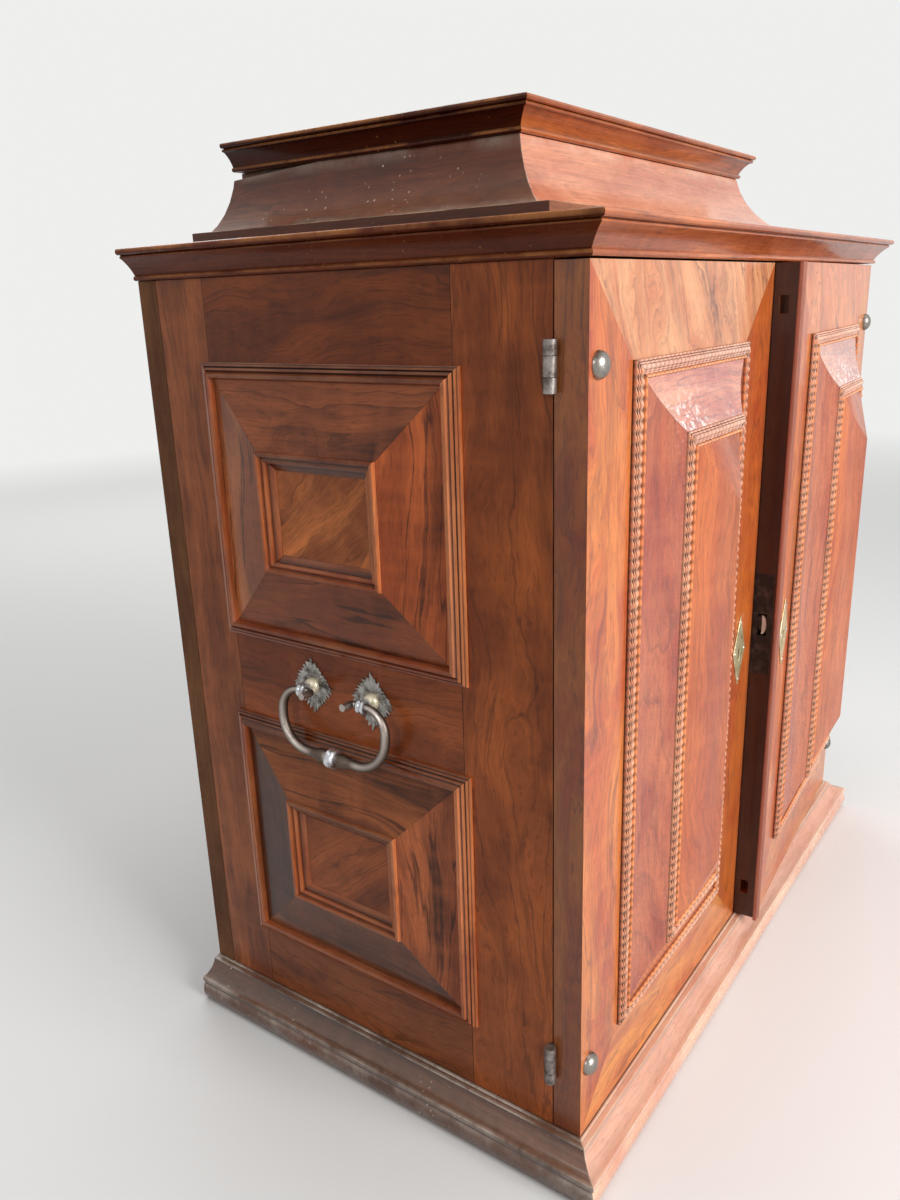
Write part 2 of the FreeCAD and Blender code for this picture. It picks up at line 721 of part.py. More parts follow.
def stud_tang(mid_z):
    """Square tang of a stud, from the door's face to the hinge leaf behind."""
    x = STUD_X - HALF_W
    half = STUD_TANG_W / 2
    return box(x - half, x + half, FRONT_Y, -DOOR_BACK_GAP - LEAF_T, mid_z - half, mid_z + half)


def left_door_studs():
    """Domed heads of the studs that hold the hinge leaves."""
    x = STUD_X - HALF_W
    heads = [dome(STUD_R, STUD_H, STUD_TOP_R, Vector(x, FRONT_Y, z), -Y_AXIS) for z in HINGE_ZS]
    return [head.fuse(stud_tang(z)).removeSplitter() for head, z in zip(heads, HINGE_ZS)]


def keyhole(depth):
    """Keyhole facing +Z, centred on the origin and sunk below the face."""
    height = ESCUTCHEON_T + depth + OVERRUN
    round_part = round_bar(KEYHOLE_R, Vector(0, 0, -depth), Vector(0, 0, height - depth))
    half = KEYHOLE_SLOT_W / 2
    return round_part.fuse(box(-half, half, -KEYHOLE_SLOT_H, 0, -depth, height - depth))


def at_lock(shape):
    """Set a piece that faces +Z on the left door's face, at the keyhole."""
    x = -MEETING_GAP / 2 - ESCUTCHEON_IN
    return on_front([shape], x, FRONT_Y, DOOR_MID_Z - ESCUTCHEON_DROP)[0]


def left_escutcheon():
    """Lozenge plate round the keyhole."""
    half_w = ESCUTCHEON_W / 2
    half_h = ESCUTCHEON_H / 2
    plate = plan_prism([(-half_w, 0), (0, -half_h), (half_w, 0), (0, half_h)], 0, ESCUTCHEON_T)
    return [at_lock(plate.cut(keyhole(KEYHOLE_DEPTH)))]


def edge_box(reach, depth, thick, z0, z1):
    """Space let into the left door's free edge; reach is how far it runs past the edge."""
    edge = -MEETING_GAP / 2
    mid_y = FRONT_Y + DOOR_T / 2
    return box(edge - depth, edge + reach, mid_y - thick / 2, mid_y + thick / 2, z0, z1)


def plain_left_door():
    """Door board with the recesses that both doors share."""
    board = box(-HALF_W, DOOR_W - HALF_W, FRONT_Y, -DOOR_BACK_GAP, DOOR_Z, DOOR_Z + DOOR_H)
    tools = [door_leaf_plate(z) for z in HINGE_ZS]
    tools += [stud_tang(z) for z in HINGE_ZS]
    tools.append(at_lock(keyhole(KEYHOLE_DEPTH)))
    for tool in tools:
        board = board.cut(tool)
    return board


def bolt_thick():
    return LOCK_CASE_T - 2 * LOCK_WALL - 2 * BOLT_PLAY


def left_door_board():
    """Left door, with the strike let into its free edge."""
    plate = edge_box(0, LOCK_PLATE_T, LOCK_PLATE_W, LOCK_Z - STRIKE_H / 2, LOCK_Z + STRIKE_H / 2)
    return [plain_left_door().cut(plate).cut(strike_mouth())]


def strike_mouth():
    """Pocket that takes the thrown bolt."""
    depth = BOLT_THROW + STRIKE_SPARE
    half = BOLT_H / 2 + 2 * BOLT_PLAY
    return edge_box(OVERRUN, depth, bolt_thick() + 4 * BOLT_PLAY, LOCK_Z - half, LOCK_Z + half)


def strike_plate():
    plate = edge_box(0, LOCK_PLATE_T, LOCK_PLATE_W, LOCK_Z - STRIKE_H / 2, LOCK_Z + STRIKE_H / 2)
    return [plate.cut(strike_mouth())]


def lock_body():
    """Outer form of the lock: long edge plate and case behind it, as if on the left door."""
    plate = edge_box(0, LOCK_PLATE_T, LOCK_PLATE_W, LOCK_Z - LOCK_PLATE_H / 2, LOCK_Z + LOCK_PLATE_H / 2)
    case = edge_box(0, LOCK_CASE_D, LOCK_CASE_T, LOCK_Z - LOCK_CASE_H / 2, LOCK_Z + LOCK_CASE_H / 2)
    return plate.fuse(case).removeSplitter()


def bolt_channel():
    """Space in the case for the bolt and its travel."""
    half = BOLT_H / 2 + BOLT_PLAY
    depth = BOLT_REST_DEPTH + BOLT_L + 2 * BOLT_PLAY
    return edge_box(OVERRUN, depth, bolt_thick() + 2 * BOLT_PLAY, LOCK_Z - half, LOCK_Z + half)


def lock_case():
    return [mirrored(lock_body().cut(bolt_channel()))]


def lock_bolt():
    """Bolt with a hooked, rounded nose, drawn back inside the edge plate."""
    tip = -MEETING_GAP / 2 - BOLT_REST_DEPTH
    neck = tip - BOLT_NOSE_R
    mid_y = FRONT_Y + DOOR_T / 2
    y0 = mid_y - bolt_thick() / 2
    y1 = mid_y + bolt_thick() / 2
    low_z = LOCK_Z - BOLT_H / 2
    top_z = LOCK_Z + BOLT_H / 2
    bar = box(tip - BOLT_L, tip, y0, y1, low_z, top_z)
    corner = box(neck, tip + OVERRUN, y0, y1, top_z - BOLT_NOSE_R, top_z + OVERRUN)
    centre_z = top_z - BOLT_NOSE_R
    nose = round_bar(BOLT_NOSE_R, Vector(neck, y0, centre_z), Vector(neck, y1, centre_z))
    notch = box(neck, tip + OVERRUN, y0, y1, low_z - OVERRUN, low_z + BOLT_NOSE_R)
    return [mirrored(bar.cut(corner.cut(nose)).cut(notch))]


def right_door_board():
    """Right door, with the lock and the two bolt pockets let into its free edge."""
    board = plain_left_door().cut(lock_body())
    for z in (DOOR_Z + BOLT_POCKET_END, DOOR_Z + DOOR_H - BOLT_POCKET_END):
        half = BOLT_POCKET_H / 2
        board = board.cut(edge_box(OVERRUN, BOLT_POCKET_DEPTH, BOLT_POCKET_T, z - half, z + half))
    return [mirrored(board)]


def astragal():
    """Reeded strip on the right door that laps the left door's free edge."""
    x1 = MEETING_GAP / 2 - ASTRAGAL_LAP + ASTRAGAL_W
    corner = Vector(x1, FRONT_Y, DOOR_Z)
    strip = outline_face(ASTRAGAL_SHARES, ASTRAGAL_W, ASTRAGAL_T, -X_AXIS, -Y_AXIS, corner, BEAD_CHORDS)
    edge = MEETING_GAP / 2
    face = FRONT_Y - ASTRAGAL_CLEAR
    relief = box(-ASTRAGAL_W, edge, face, FRONT_Y + OVERRUN, DOOR_Z, DOOR_Z + DOOR_H)
    return [strip.extrude(Vector(0, 0, DOOR_H)).cut(relief)]


def left_door_frame(inset, *profile):
    """Mitred frame on the left door, this far inside the door's outline."""
    members = mitred_frame(DOOR_W - 2 * inset, DOOR_H - 2 * inset, *profile)
    return on_front(members, DOOR_MID_X, FRONT_Y, DOOR_MID_Z)


def left_hipped_panel():
    """Middle panel: upright edges, then four slopes that meet in an upright ridge."""
    inset = DOOR_BORDER + OUTER_RIPPLE_W + DOOR_BAND_W + INNER_RIPPLE_W
    half_w = DOOR_W / 2 - inset
    half_h = DOOR_H / 2 - inset
    ridge_end = half_h - half_w
    across = [
        Vector(-half_w, -half_h, 0),
        Vector(half_w, -half_h, 0),
        Vector(half_w, -half_h, HIP_EDGE_H),
        Vector(0, -half_h, HIP_RIDGE_H),
        Vector(-half_w, -half_h, HIP_EDGE_H),
    ]
    along = [
        Vector(-half_w, -half_h, 0),
        Vector(-half_w, half_h, 0),
        Vector(-half_w, half_h, HIP_EDGE_H),
        Vector(-half_w, ridge_end, HIP_RIDGE_H),
        Vector(-half_w, -ridge_end, HIP_RIDGE_H),
        Vector(-half_w, -half_h, HIP_EDGE_H),
    ]
    gable = Part.Face(Part.makePolygon(across + across[:1])).extrude(Vector(0, 2 * half_h, 0))
    hips = Part.Face(Part.makePolygon(along + along[:1])).extrude(Vector(2 * half_w, 0, 0))
    return on_front([gable.common(hips)], DOOR_MID_X, FRONT_Y, DOOR_MID_Z)


def post_tang(x0, x1, y):
    """Square tang of a handle post; x0 and x1 are counted inwards from the side face."""
    half = POST_TANG_W / 2
    return box(x0 - HALF_W, x1 - HALF_W, y - half, y + half, HANDLE_Z - half, HANDLE_Z + half)


def rosette():
    """Saw-edged leaf plate, pointed above and below, facing +Z round the origin."""
    edge = []
    for step in range(1, 2 * ROSETTE_TEETH):
        level = step / ROSETTE_TEETH - 1
        reach = ROSETTE_W / 2 * (1 - abs(level) ** 1.5) - ROSETTE_TOOTH * (step % 2)
        edge.append((reach, level * ROSETTE_H / 2))
    mirror_edge = [(-x, y) for x, y in reversed(edge)]
    return plan_prism([(0, -ROSETTE_H / 2)] + edge + [(0, ROSETTE_H / 2)] + mirror_edge, 0, ROSETTE_T)


def left_rosettes():
    plates = []
    for y in handle_posts_y():
        plate = on_left([rosette()], -HALF_W, y, HANDLE_Z)[0]
        plates.append(plate.cut(post_tang(-ROSETTE_T - OVERRUN, 0, y)))
    return plates


def handle_post(y):
    """Domed boss with a neck, an eye for the bail and a square tang."""
    seat = Vector(-HALF_W - ROSETTE_T, y, HANDLE_Z)
    eye = Vector(-HALF_W - POST_AXIS_OUT, y, HANDLE_Z)
    half = Y_AXIS * (EYE_T / 2)
    boss = dome(POST_DOME_R, POST_DOME_H, POST_TOP_R, seat, -X_AXIS)
    neck = round_bar(POST_NECK_R, seat, eye)
    ring = round_bar(EYE_R, eye - half, eye + half)
    hole = round_hole(BAIL_R + EYE_PLAY, eye - half * 2, eye + half * 2)
    return boss.fuse([neck, ring, post_tang(-ROSETTE_T, POST_TANG_L, y)]).cut(hole).removeSplitter()


def left_posts():
    return [handle_post(y) for y in handle_posts_y()]


def bend_points(centre, radius, start, end, chords=BEND_CHORDS):
    """Points on a quarter bend about a centre, from one direction to another."""
    turns = [math.pi / 2 * step / chords for step in range(chords + 1)]
    return [centre + start * (radius * math.cos(a)) + end * (radius * math.sin(a)) for a in turns]


def bail_half():
    """Middle line of half of the bail, from its bent-out end to the middle of the drop."""
    bend = BAIL_END_BEND_R
    eye_y = BAIL_END_IN + bend
    shoulder = BAIL_SHOULDER_R
    half_w = HANDLE_PITCH / 2 + BAIL_SHOULDER_OUT
    shoulder_y = half_w - shoulder
    lower_r = BAIL_DROP - shoulder - BAIL_ARM_L
    lower_z = -shoulder - BAIL_ARM_L
    lower_y = half_w - lower_r
    path = [Vector(-BAIL_END_OUT, eye_y - bend, 0)]
    path += bend_points(Vector(-bend, eye_y, 0), bend, -Y_AXIS, X_AXIS, END_BEND_CHORDS)
    path += bend_points(Vector(0, shoulder_y, -shoulder), shoulder, Z_AXIS, Y_AXIS)
    path += bend_points(Vector(0, lower_y, lower_z), lower_r, Y_AXIS, -Z_AXIS)
    return path


def bail():
    """Drop handle about the Y axis: bent bar with a ringed, swelling grip."""
    half = bail_half()
    bar = bent_bar(BAIL_R, half + [Vector(point.x, -point.y, point.z) for point in reversed(half)])
    middle = Vector(0, 0, -BAIL_DROP)
    swell = turned_form(scaled(SWELL_SHARES, BAIL_SWELL_L, BAIL_SWELL_R), middle, Y_AXIS)
    ring = turned_form(scaled(RING_SHARES, BAIL_RING_W, BAIL_RING_R), middle, Y_AXIS)
    return bar.fuse([swell, ring]).removeSplitter()


def left_bail():
    """Bail at rest against the lower panel's moulding, a little out of plumb."""
    leaning = turned(bail(), Y_AXIS, BAIL_ANGLE)
    return [moved(leaning, -HALF_W - POST_AXIS_OUT, PANEL_MID_Y, HANDLE_Z)]


def both(shapes):
    return shapes + [mirrored(shape) for shape in shapes]


def door_nodes():
    """Pieces of the left door by name, as built; the right door mirrors them."""
    band_in = DOOR_BORDER + OUTER_RIPPLE_W
    inner_in = band_in + DOOR_BAND_W
    outer_ripple = (DOOR_BORDER, OUTER_RIPPLE_W, OUTER_RIPPLE_H, RIPPLE_SHARES, BEAD_CHORDS, True)
    band = (band_in, DOOR_BAND_W, DOOR_BAND_H, DOOR_BAND_SHARES, HOLLOW_CHORDS)
    inner_ripple = (inner_in, INNER_RIPPLE_W, INNER_RIPPLE_H, INNER_RIPPLE_SHARES)
    return {
        "outer_ripple_frame": left_door_frame(*outer_ripple),
        "pillow_band": left_door_frame(*band),
        "inner_ripple_frame": left_door_frame(*inner_ripple),
        "hipped_panel": left_hipped_panel(),
        "escutcheon": left_escutcheon(),
        "hinge_leaves": left_door_hinge_leaves(),
        "hinge_studs": left_door_studs(),
    }


def side_nodes():
    """Pieces of the left side wall by name; the right side mirrors them."""
    pillow_in = SIDE_MOULD_W
    field_in = pillow_in + SIDE_PILLOW_W
    return {
        "side_frame": left_frame(),
        "side_panels": left_panels(),
        "side_mouldings": left_panel_frames(0, SIDE_MOULD_W, SIDE_MOULD_H, SIDE_MOULD_SHARES),
        "side_pillows": left_panel_frames(pillow_in, SIDE_PILLOW_W, SIDE_PILLOW_H, SIDE_PILLOW_SHARES),
        "side_field_frames": left_panel_frames(field_in, FIELD_MOULD_W, FIELD_MOULD_H, FIELD_MOULD_SHARES),
        "bail": left_bail(),
    }


def wrapped_nodes(name, front, left):
    """Front, left and right lengths of a moulding as three pieces."""
    return {name + "_front": [front], name + "_left": [left], name + "_right": [mirrored(left)]}


def carcass_nodes():
    nodes = {
        "base_frame": base_frame(),
        "bottom_board": bottom_board(),
        "top_board": top_board(),
        "back_boards": back_boards(),
        "shelves": shelves(),
        "shelf_battens": shelf_battens(),
        "step_frame": step_frame(),
        "cove_back": cove_back(),
        "carcass_hinge_leaves": carcass_hinge_leaves(),
        "door_hinge_pins": door_hinge_pins(),
        "lid_hinge_lower_leaves": lid_hinge_leaves("cove"),
        "lid_hinge_pins": lid_hinge_pins(),
        "handle_rosettes": both(left_rosettes()),
        "handle_posts": both(left_posts()),
    }
    base = (BASE_SHARES, 0, BASE_OUT, 0, BASE_H)
    cornice = (CORNICE_SHARES, 0, CORNICE_OUT, TOP_Z, CORNICE_H)
    cove = (COVE_SHARES, -TRAY_IN, -COVE_FOOT_IN, COVE_Z, COVE_H)
    nodes.update(wrapped_nodes("base_moulding", wrap_front(*base), wrap_left(*base)))
    nodes.update(wrapped_nodes("cornice", wrap_front(*cornice), wrap_left(*cornice)))
    nodes.update(wrapped_nodes("cove", wrap_front(*cove), wrap_left(*cove)))
    nodes["cove_left"] = [cove_left()]
    return nodes


def lid_nodes():
    nodes = {"lid_board": lid_board(), "lid_hinge_upper_leaves": lid_hinge_leaves("lid")}
    nodes.update(wrapped_nodes("lid_moulding", lid_moulding(wrap_front), lid_moulding(wrap_left)))
    return nodes


def right_door_ajar(shapes):
    """Swing right door pieces from closed to the resting angle, about their hinge pins."""
    pivot = Vector(-HINGE_AXIS_X, HINGE_AXIS_Y, 0)
    return [turned(shape, Z_AXIS, RIGHT_DOOR_ANGLE, pivot) for shape in shapes]


def all_nodes():
    nodes = {}
    nodes.update(carcass_nodes())
    nodes.update(lid_nodes())
    for name, shapes in side_nodes().items():
        nodes["left_" + name] = shapes
        nodes["right_" + name] = [mirrored(shape) for shape in shapes]
    for name, shapes in door_nodes().items():
        nodes["left_door_" + name] = shapes
        nodes["right_door_" + name] = right_door_ajar([mirrored(shape) for shape in shapes])
    nodes["left_door_board"] = left_door_board()
    nodes["left_door_strike_plate"] = strike_plate()
    nodes["right_door_board"] = right_door_ajar(right_door_board())
    nodes["right_door_astragal"] = right_door_ajar(astragal())
    nodes["right_door_lock_case"] = right_door_ajar(lock_case())
    nodes["lock_bolt"] = right_door_ajar(lock_bolt())
    return nodes


def middle_of_depth(nodes):
    """Middle of the whole outline from front to back, which becomes y = 0."""
    front = min(shape.BoundBox.YMin for shape in nodes["right_door_hipped_panel"])
    back = LID_AXIS_Y + LID_BARREL_R
    return (front + back) / 2


def main():
    os.makedirs("parts", exist_ok=True)
    nodes = all_nodes()
    middle_y = middle_of_depth(nodes)
    for name, shapes in sorted(nodes.items()):
        placed = [moved(shape, y=-middle_y) for shape in shapes]
        Part.Compound(placed).exportStep("parts/" + name + ".step")
    print("nodes", len(nodes), "carcass front at y", round(-middle_y, 4))


main()
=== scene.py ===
import json
import math
import random

import bmesh
import bpy
from mathutils import Matrix, Vector

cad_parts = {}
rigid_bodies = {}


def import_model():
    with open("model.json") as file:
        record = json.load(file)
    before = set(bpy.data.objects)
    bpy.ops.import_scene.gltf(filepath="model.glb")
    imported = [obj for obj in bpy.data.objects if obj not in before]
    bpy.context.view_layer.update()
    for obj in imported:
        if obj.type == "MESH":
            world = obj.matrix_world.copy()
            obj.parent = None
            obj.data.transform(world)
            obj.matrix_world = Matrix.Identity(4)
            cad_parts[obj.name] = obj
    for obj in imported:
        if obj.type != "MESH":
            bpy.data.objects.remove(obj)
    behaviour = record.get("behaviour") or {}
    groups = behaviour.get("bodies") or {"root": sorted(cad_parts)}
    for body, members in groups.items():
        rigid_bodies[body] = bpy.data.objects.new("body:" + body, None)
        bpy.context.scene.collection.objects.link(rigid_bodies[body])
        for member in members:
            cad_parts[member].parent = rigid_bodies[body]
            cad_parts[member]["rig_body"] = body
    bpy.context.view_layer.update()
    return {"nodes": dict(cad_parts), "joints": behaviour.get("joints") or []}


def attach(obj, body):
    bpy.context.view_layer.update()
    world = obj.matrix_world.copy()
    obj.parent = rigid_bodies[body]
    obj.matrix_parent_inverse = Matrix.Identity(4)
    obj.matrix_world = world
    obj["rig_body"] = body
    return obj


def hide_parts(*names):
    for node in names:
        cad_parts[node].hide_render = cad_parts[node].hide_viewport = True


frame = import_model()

# Two-door walnut table cabinet with ripple mouldings, side panels and iron drop handles.
# Lengths are metres. +Z is up and the doors face -Y.

MM = 0.001

# Camera of the photograph
CAMERA_PLACE = (-0.9698, -0.5112, 0.7449)
CAMERA_YAW = 0.9462
CAMERA_PITCH = 0.3049
CAMERA_ROLL = -0.0332
CAMERA_LENS = 28.93
SENSOR_H = 36.0

# Boards: softened edges, and the angles over which an edge is sharp or its mark is full
BOARD_EDGE = 0.7 * MM
MOULDING_EDGE = 0.35 * MM
METAL_EDGE = 0.25 * MM
MITRE_EDGE = 0.7 * MM
PLATE_EDGE = 0.7 * MM
SHARP_ANGLE = math.radians(48)
SMOOTH_ANGLE = math.radians(40)
FLAT_ANGLE = 0.002
FULL_MARK = math.radians(60)
ALONG_SHARE = 0.8
WELD_DIGITS = 6
PLACE_DIGITS = 3
LOG_LENGTH = 30
HEART_DEPTHS = (0.02, 0.07)
TINT_SPREAD = 0.10

# Ripple mouldings: reeds across the width as start, end, foot and crest in shares of the
# width and relief, depth of the ripple in millimetres, and colour
RIPPLE_PITCH = 8.15 * MM
RIPPLE_STEPS = 10
RIPPLE_W = 14 * MM
RIPPLE_RELIEF = 7 * MM
RIPPLE_SWAY = 0.25 * MM
# Painted shade in the ripple troughs, set apart for level and upright members, and a painted shadow along
# the mitres
TROUGH_SHADES = (0.45, 0.60)
TROUGH_POWER = 1.7
MITRE_SHADE = 0.12
# Tints of the bottom, left, top and right members: partly a paler tone, partly painted sheen, palest and
# bluest on the top member
MEMBER_SHEEN_TINTS = [(1.4, 1.9, 2.4), (1.5, 2.0, 2.3), (1.6, 2.7, 4.0), (1.25, 1.5, 1.7)]
REED_POINTS = 7
# How far up each reed the painted shade of its groove reaches
REED_SHADE_POWER = 0.34
REED_FOOT = 0.16
# Painted shade in the hollows between reeds, darker on the level members, and a painted shadow on the outer
# wall
GROOVE_SHADES = [(0.30, 0.19, 0.15), (0.50, 0.34, 0.27)]
OUTER_WALL_SHADOW = (0.10, 0.06, 0.05)
PINK_REED = (1.0, 1.0, 1.0)
ORANGE_BEAD = (1.3, 0.95, 0.55)
REEDS = [
    (0.00, 0.13, 0.20, 0.66, 1.2, PINK_REED),
    (0.14, 0.25, 0.58, 0.79, 1.2, PINK_REED),
    (0.26, 0.55, 0.68, 0.98, 1.5, PINK_REED),
    (0.56, 0.67, 0.60, 0.84, 1.2, PINK_REED),
    (0.68, 0.79, 0.54, 0.76, 1.2, PINK_REED),
    (0.82, 0.99, 0.56, 0.96, 0.2, ORANGE_BEAD),
]

# Veneer border of the doors
VENEER_T = 0.15 * MM

# Ironwork
STUD_R = 10 * MM
STUD_FOOT_R = 12 * MM
STUD_H = 8 * MM
STUD_RIM = 0.8 * MM
# Painted shadow behind the keyhole: a dark disc under its plate
KEYHOLE_SHADOW_R = 9.5 * MM
KEYHOLE_SHADOW_T = 0.3 * MM
KEYHOLE_SHADOW_DROP = 4 * MM
KEYHOLE_SHADOW_TAPER = 0.98
PIN_R = 1.4 * MM
PIN_H = 0.9 * MM
PIN_INSET_X = 5 * MM
PIN_INSET_Z = 7 * MM
HOOK_SHARE = 0.9
HOOK_HOLLOW = 0.1
HOOK_TIP = 0.6 * MM
HOOK_T = 0.4 * MM
POST_R = 8 * MM
POST_H = 6 * MM
POST_RIM = 0.8 * MM
POST_SEAT = 0.6
NECK_SHARE = 0.8
POST_NECK_R = 3.2 * MM
POST_EYE_R = 6.6 * MM
POST_EYE_T = 8 * MM
POST_PITCH = 70 * MM
EYE_RING = [(-1, 3.6), (-1, 5.6), (-0.6, 6.9), (-0.1, 5.4), (0.1, 5.4), (0.6, 6.9), (1, 5.6), (1, 3.6)]
ROSETTE_T = 1.8 * MM
ROSETTE_W = 50 * MM
ROSETTE_H = 57 * MM
LEAF_TEETH = 30
LEAF_POWER = 1.15
LEAF_NOTCH = 0.84
LEAF_RAGGED = 0.07
LEAF_LEAN = 0.10
LEAF_CURL = (0.2 * MM, 2.2 * MM)
LEAF_FOLD = 0.62
VEIN_LEVELS = (0.85, 0.8)
HOLLOW_LEVELS = (0.65, 0.6)
RIM_LEVEL = 0.45
CURL_BACK = 0.6
HUB_SHARE = 0.9
BACK_SHARE = 0.9
BAIL_R = 3.3 * MM
BAIL_LEAN = math.radians(5)
BAIL_SHOULDER_OUT = 25.5 * MM
BAIL_DROP = 57 * MM
BAIL_SHOULDER_R = 22 * MM
BAIL_ARM_L = 4 * MM
BAIL_END_OUT = 14 * MM
BAIL_END_IN = 24 * MM
BAIL_END_BEND_R = 4 * MM
BAIL_SWELL_R = 6.6 * MM
BAIL_SWELL_Y = 12 * MM
BAIL_ARM_R = 4.4 * MM
BAIL_ARM_FULL_Z = 26 * MM
STAIN_Y = 17 * MM
STAIN_REACH = 16 * MM
# Painted highlight: the side of the bail bars that faces this way stays bright; the rest gets painted shade
GLINT_SIDE = (1.0, -0.35, 0.45)
GLINT_FOCUS = 8
STUB_OUT = 4 * MM
STUB_STAIN = 0.35
BAIL_SWELL_L = 12 * MM
BAIL_STRAIGHT_L = 22 * MM
BAIL_RING = [(-6.6, 4.4), (-5.6, 4.6), (-5.2, 7.4), (-4.4, 8.8), (-3.2, 9.2), (-2.0, 9.0), (-1.0, 7.8),
             (-0.2, 7.8), (0.8, 8.9), (2.2, 9.2), (3.6, 8.7), (4.6, 7.0), (5.0, 4.6), (6.6, 4.4)]
ROUND_STEPS = 28
BEND_STEPS = 12
DOME_STEPS = 7
DOME_TIP = 0.02

# Figure of the walnut: scales along, across and through the log
DRIFTS = [
    ((3.2, 9, 9), 2, 0.5, (0.02, 0.10, 0.06)),
    ((17, 36, 36), 3, 0.55, (0.01, 0.016, 0.01)),
]
KNOT_SPREAD = (9, 15, 15)
KNOT_PUSH = 0.030
RINGS = 130
FLAMES = (2.8, 9, 9)
FLAME_SHIFT = 10
BANDS = 0.42
CLOUDS = (9, 22, 22)
SMOKE = (2.6, 30, 30)
VEIN_GATE = (3, 11, 11)
THREADS = (1.6, 44, 44)
FIBRES = (14, 480, 480)
SHIMMER = (60, 11, 11)
PORES = (75, 750, 750)

# Finish
# Dark of dirty seams, and of painted shade in the hollow corners of mouldings
SEAM_DIRT_AND_GROOVE_SHADE = (34, 18, 13)
# Pale of the painted glints on crazed shellac
CRAZE_GLINT = (252, 238, 232)
POLISH_RELIEF = 0.4 * MM
POLISH_BUMP = 0.35
POLISH_SPREAD = 0.16
COAT_ROUGHNESS = 0.12
PORE_SHARE = 0.2
DUST_ROUGHNESS = 0.5
WRINKLES = (150, 150, 230)
GROOVE_POWER = 1.8
METAL_RELIEF = 0.25 * MM
METAL_BUMP = 0.5
TARNISH_EDGE = (0.88, 1.12)

# Tints of boards in the order of board_place
EDGE_STRIP_TINT = (0.50, 0.45, 0.42)
# Painted shade on the free edge of each door, where the doors meet
MEETING_EDGE_SHADE = (0.08, 0.06, 0.06)
EDGE_FACING = 0.8
EDGE_BAND = 3 * BOARD_EDGE
MEETING_STRIP_TINT = (0.55, 0.40, 0.42)
# Tints of the bottom, right, top and left border veneers: partly their own tone, partly painted sheen on the
# paler, bluer ones and painted shade on the left door's free stile
BORDER_SHEEN_AND_SHADE_TINTS = {
    "left": [(1.05, 1.2, 1.5), (0.80, 0.60, 0.50), (1.0, 1.0, 1.0), (1.0, 0.95, 1.15)],
    "right": [(1.0, 1.1, 1.4), (1.0, 1.1, 1.4), (1.0, 0.72, 0.52), (1.0, 0.9, 0.95)],
}
# Tints of the hollow band's bottom, left, right and top members; the top member's pale, bluish tint is
# painted sheen
BAND_SHEEN_TINTS = [(0.9, 0.8, 0.8), (0.88, 0.82, 0.90), (0.9, 0.86, 0.9), (1.25, 1.9, 3.0)]
FRAME_TINTS = [(0.72, 0.78, 0.85), (0.9, 0.9, 0.95), (1.05, 1.05, 0.95), (1.1, 1.3, 1.6), (0.66, 0.62, 0.58)]
FIELD_TINTS = [(1.0, 1.05, 1.1), (1.7, 2.1, 2.3)]
# Sloped pillow boards of the side panels: partly their own tone, partly painted light and shade by the way
# each slopes
PILLOW_LIGHT_AND_SHADE_TINTS = [
    (0.65, 0.85, 1.1), (1.1, 1.2, 1.4), (0.30, 0.33, 0.40), (1.0, 1.2, 1.3),
    (0.75, 0.75, 0.8), (1.35, 1.25, 1.15), (1.3, 1.65, 1.95), (0.9, 1.0, 1.2),
]

FIELD_SLANT = math.radians(40)
BURR_SLANT = math.radians(62)
# Tints of the front, left and right runs; the dark left entries are partly a darker tone, partly painted
# shade
BASE_TINTS = [(1.0, 1.0, 1.0), (0.42, 0.35, 0.29), (0.8, 0.8, 0.8)]
CORNICE_TINTS = [(1.0, 0.95, 0.9), (0.36, 0.25, 0.19), (0.8, 0.8, 0.8)]
COVE_TINTS = [(1.0, 1.05, 1.05), (0.31, 0.22, 0.18), (0.8, 0.8, 0.8)]
LID_TINTS = [(0.80, 0.78, 0.65), (0.13, 0.07, 0.05), (0.8, 0.8, 0.8)]
STEP_TINTS = [(1.0, 1.0, 1.0), (0.24, 0.18, 0.15), (1.0, 1.0, 1.0), (1.0, 1.0, 1.0)]
# Side panel mouldings, bottom, front, back and top: painted light on the front uprights, painted shade on
# the top members
SIDE_MOULDING_LIGHT_AND_SHADE_TINTS = [(0.75, 0.64, 0.60), (1.35, 1.45, 1.6), (1.0, 0.9, 0.85), (0.46, 0.40, 0.38)]

# Stage
SKY_LEVEL = 0.22
LAMP_AIM_Z = 0.45
FLOOR_REACH = 12
FLOOR_NEAR = 0.9
FLOOR_FAR = 4.5
WALL_COLOUR = (0.86, 0.86, 0.85, 1)
FLOOR_COLOUR = (0.82, 0.82, 0.81, 1)
FLOOR_BOUNCE = (0.30, 0.30, 0.30, 1)
FLOOR_ROUGHNESS = 0.9
FLOOR_SHINE = 0.1
SOFTBOXES = [
    ("front_softbox", (-0.4, -3.0, 1.6), 1.8, 105),
    ("left_softbox", (-2.8, 0.0, 1.7), 0.45, 8.5),
    ("top_softbox", (0.3, 0.1, 3.0), 2.0, 40),
    ("rear_softbox", (1.4, 2.6, 1.6), 1.8, 18),
]


# Small helpers for values and colours

def rgb(red, green, blue):
    """Linear colour from the 0 to 255 values that a picture shows."""
    def linear(value):
        share = value / 255
        return share / 12.92 if share <= 0.04045 else ((share + 0.055) / 1.055) ** 2.4

    return (linear(red), linear(green), linear(blue), 1.0)


def joint(name):
    return next(j for j in frame["joints"] if j["name"] == name)


RIGHT_DOOR_HINGE = Vector(joint("right_door_swing")["pos_m"])
RIGHT_DOOR_ANGLE = -math.radians(joint("right_door_swing")["range_deg"][0])


def door_turn(body):
    """Matrix from the closed place to the stored place of a body's pieces."""
    if body not in ("right_door", "lock_bolt"):
        return Matrix.Identity(4)
    hinge = Matrix.Translation(RIGHT_DOOR_HINGE)
    return hinge @ Matrix.Rotation(RIGHT_DOOR_ANGLE, 4, "Z") @ hinge.inverted()


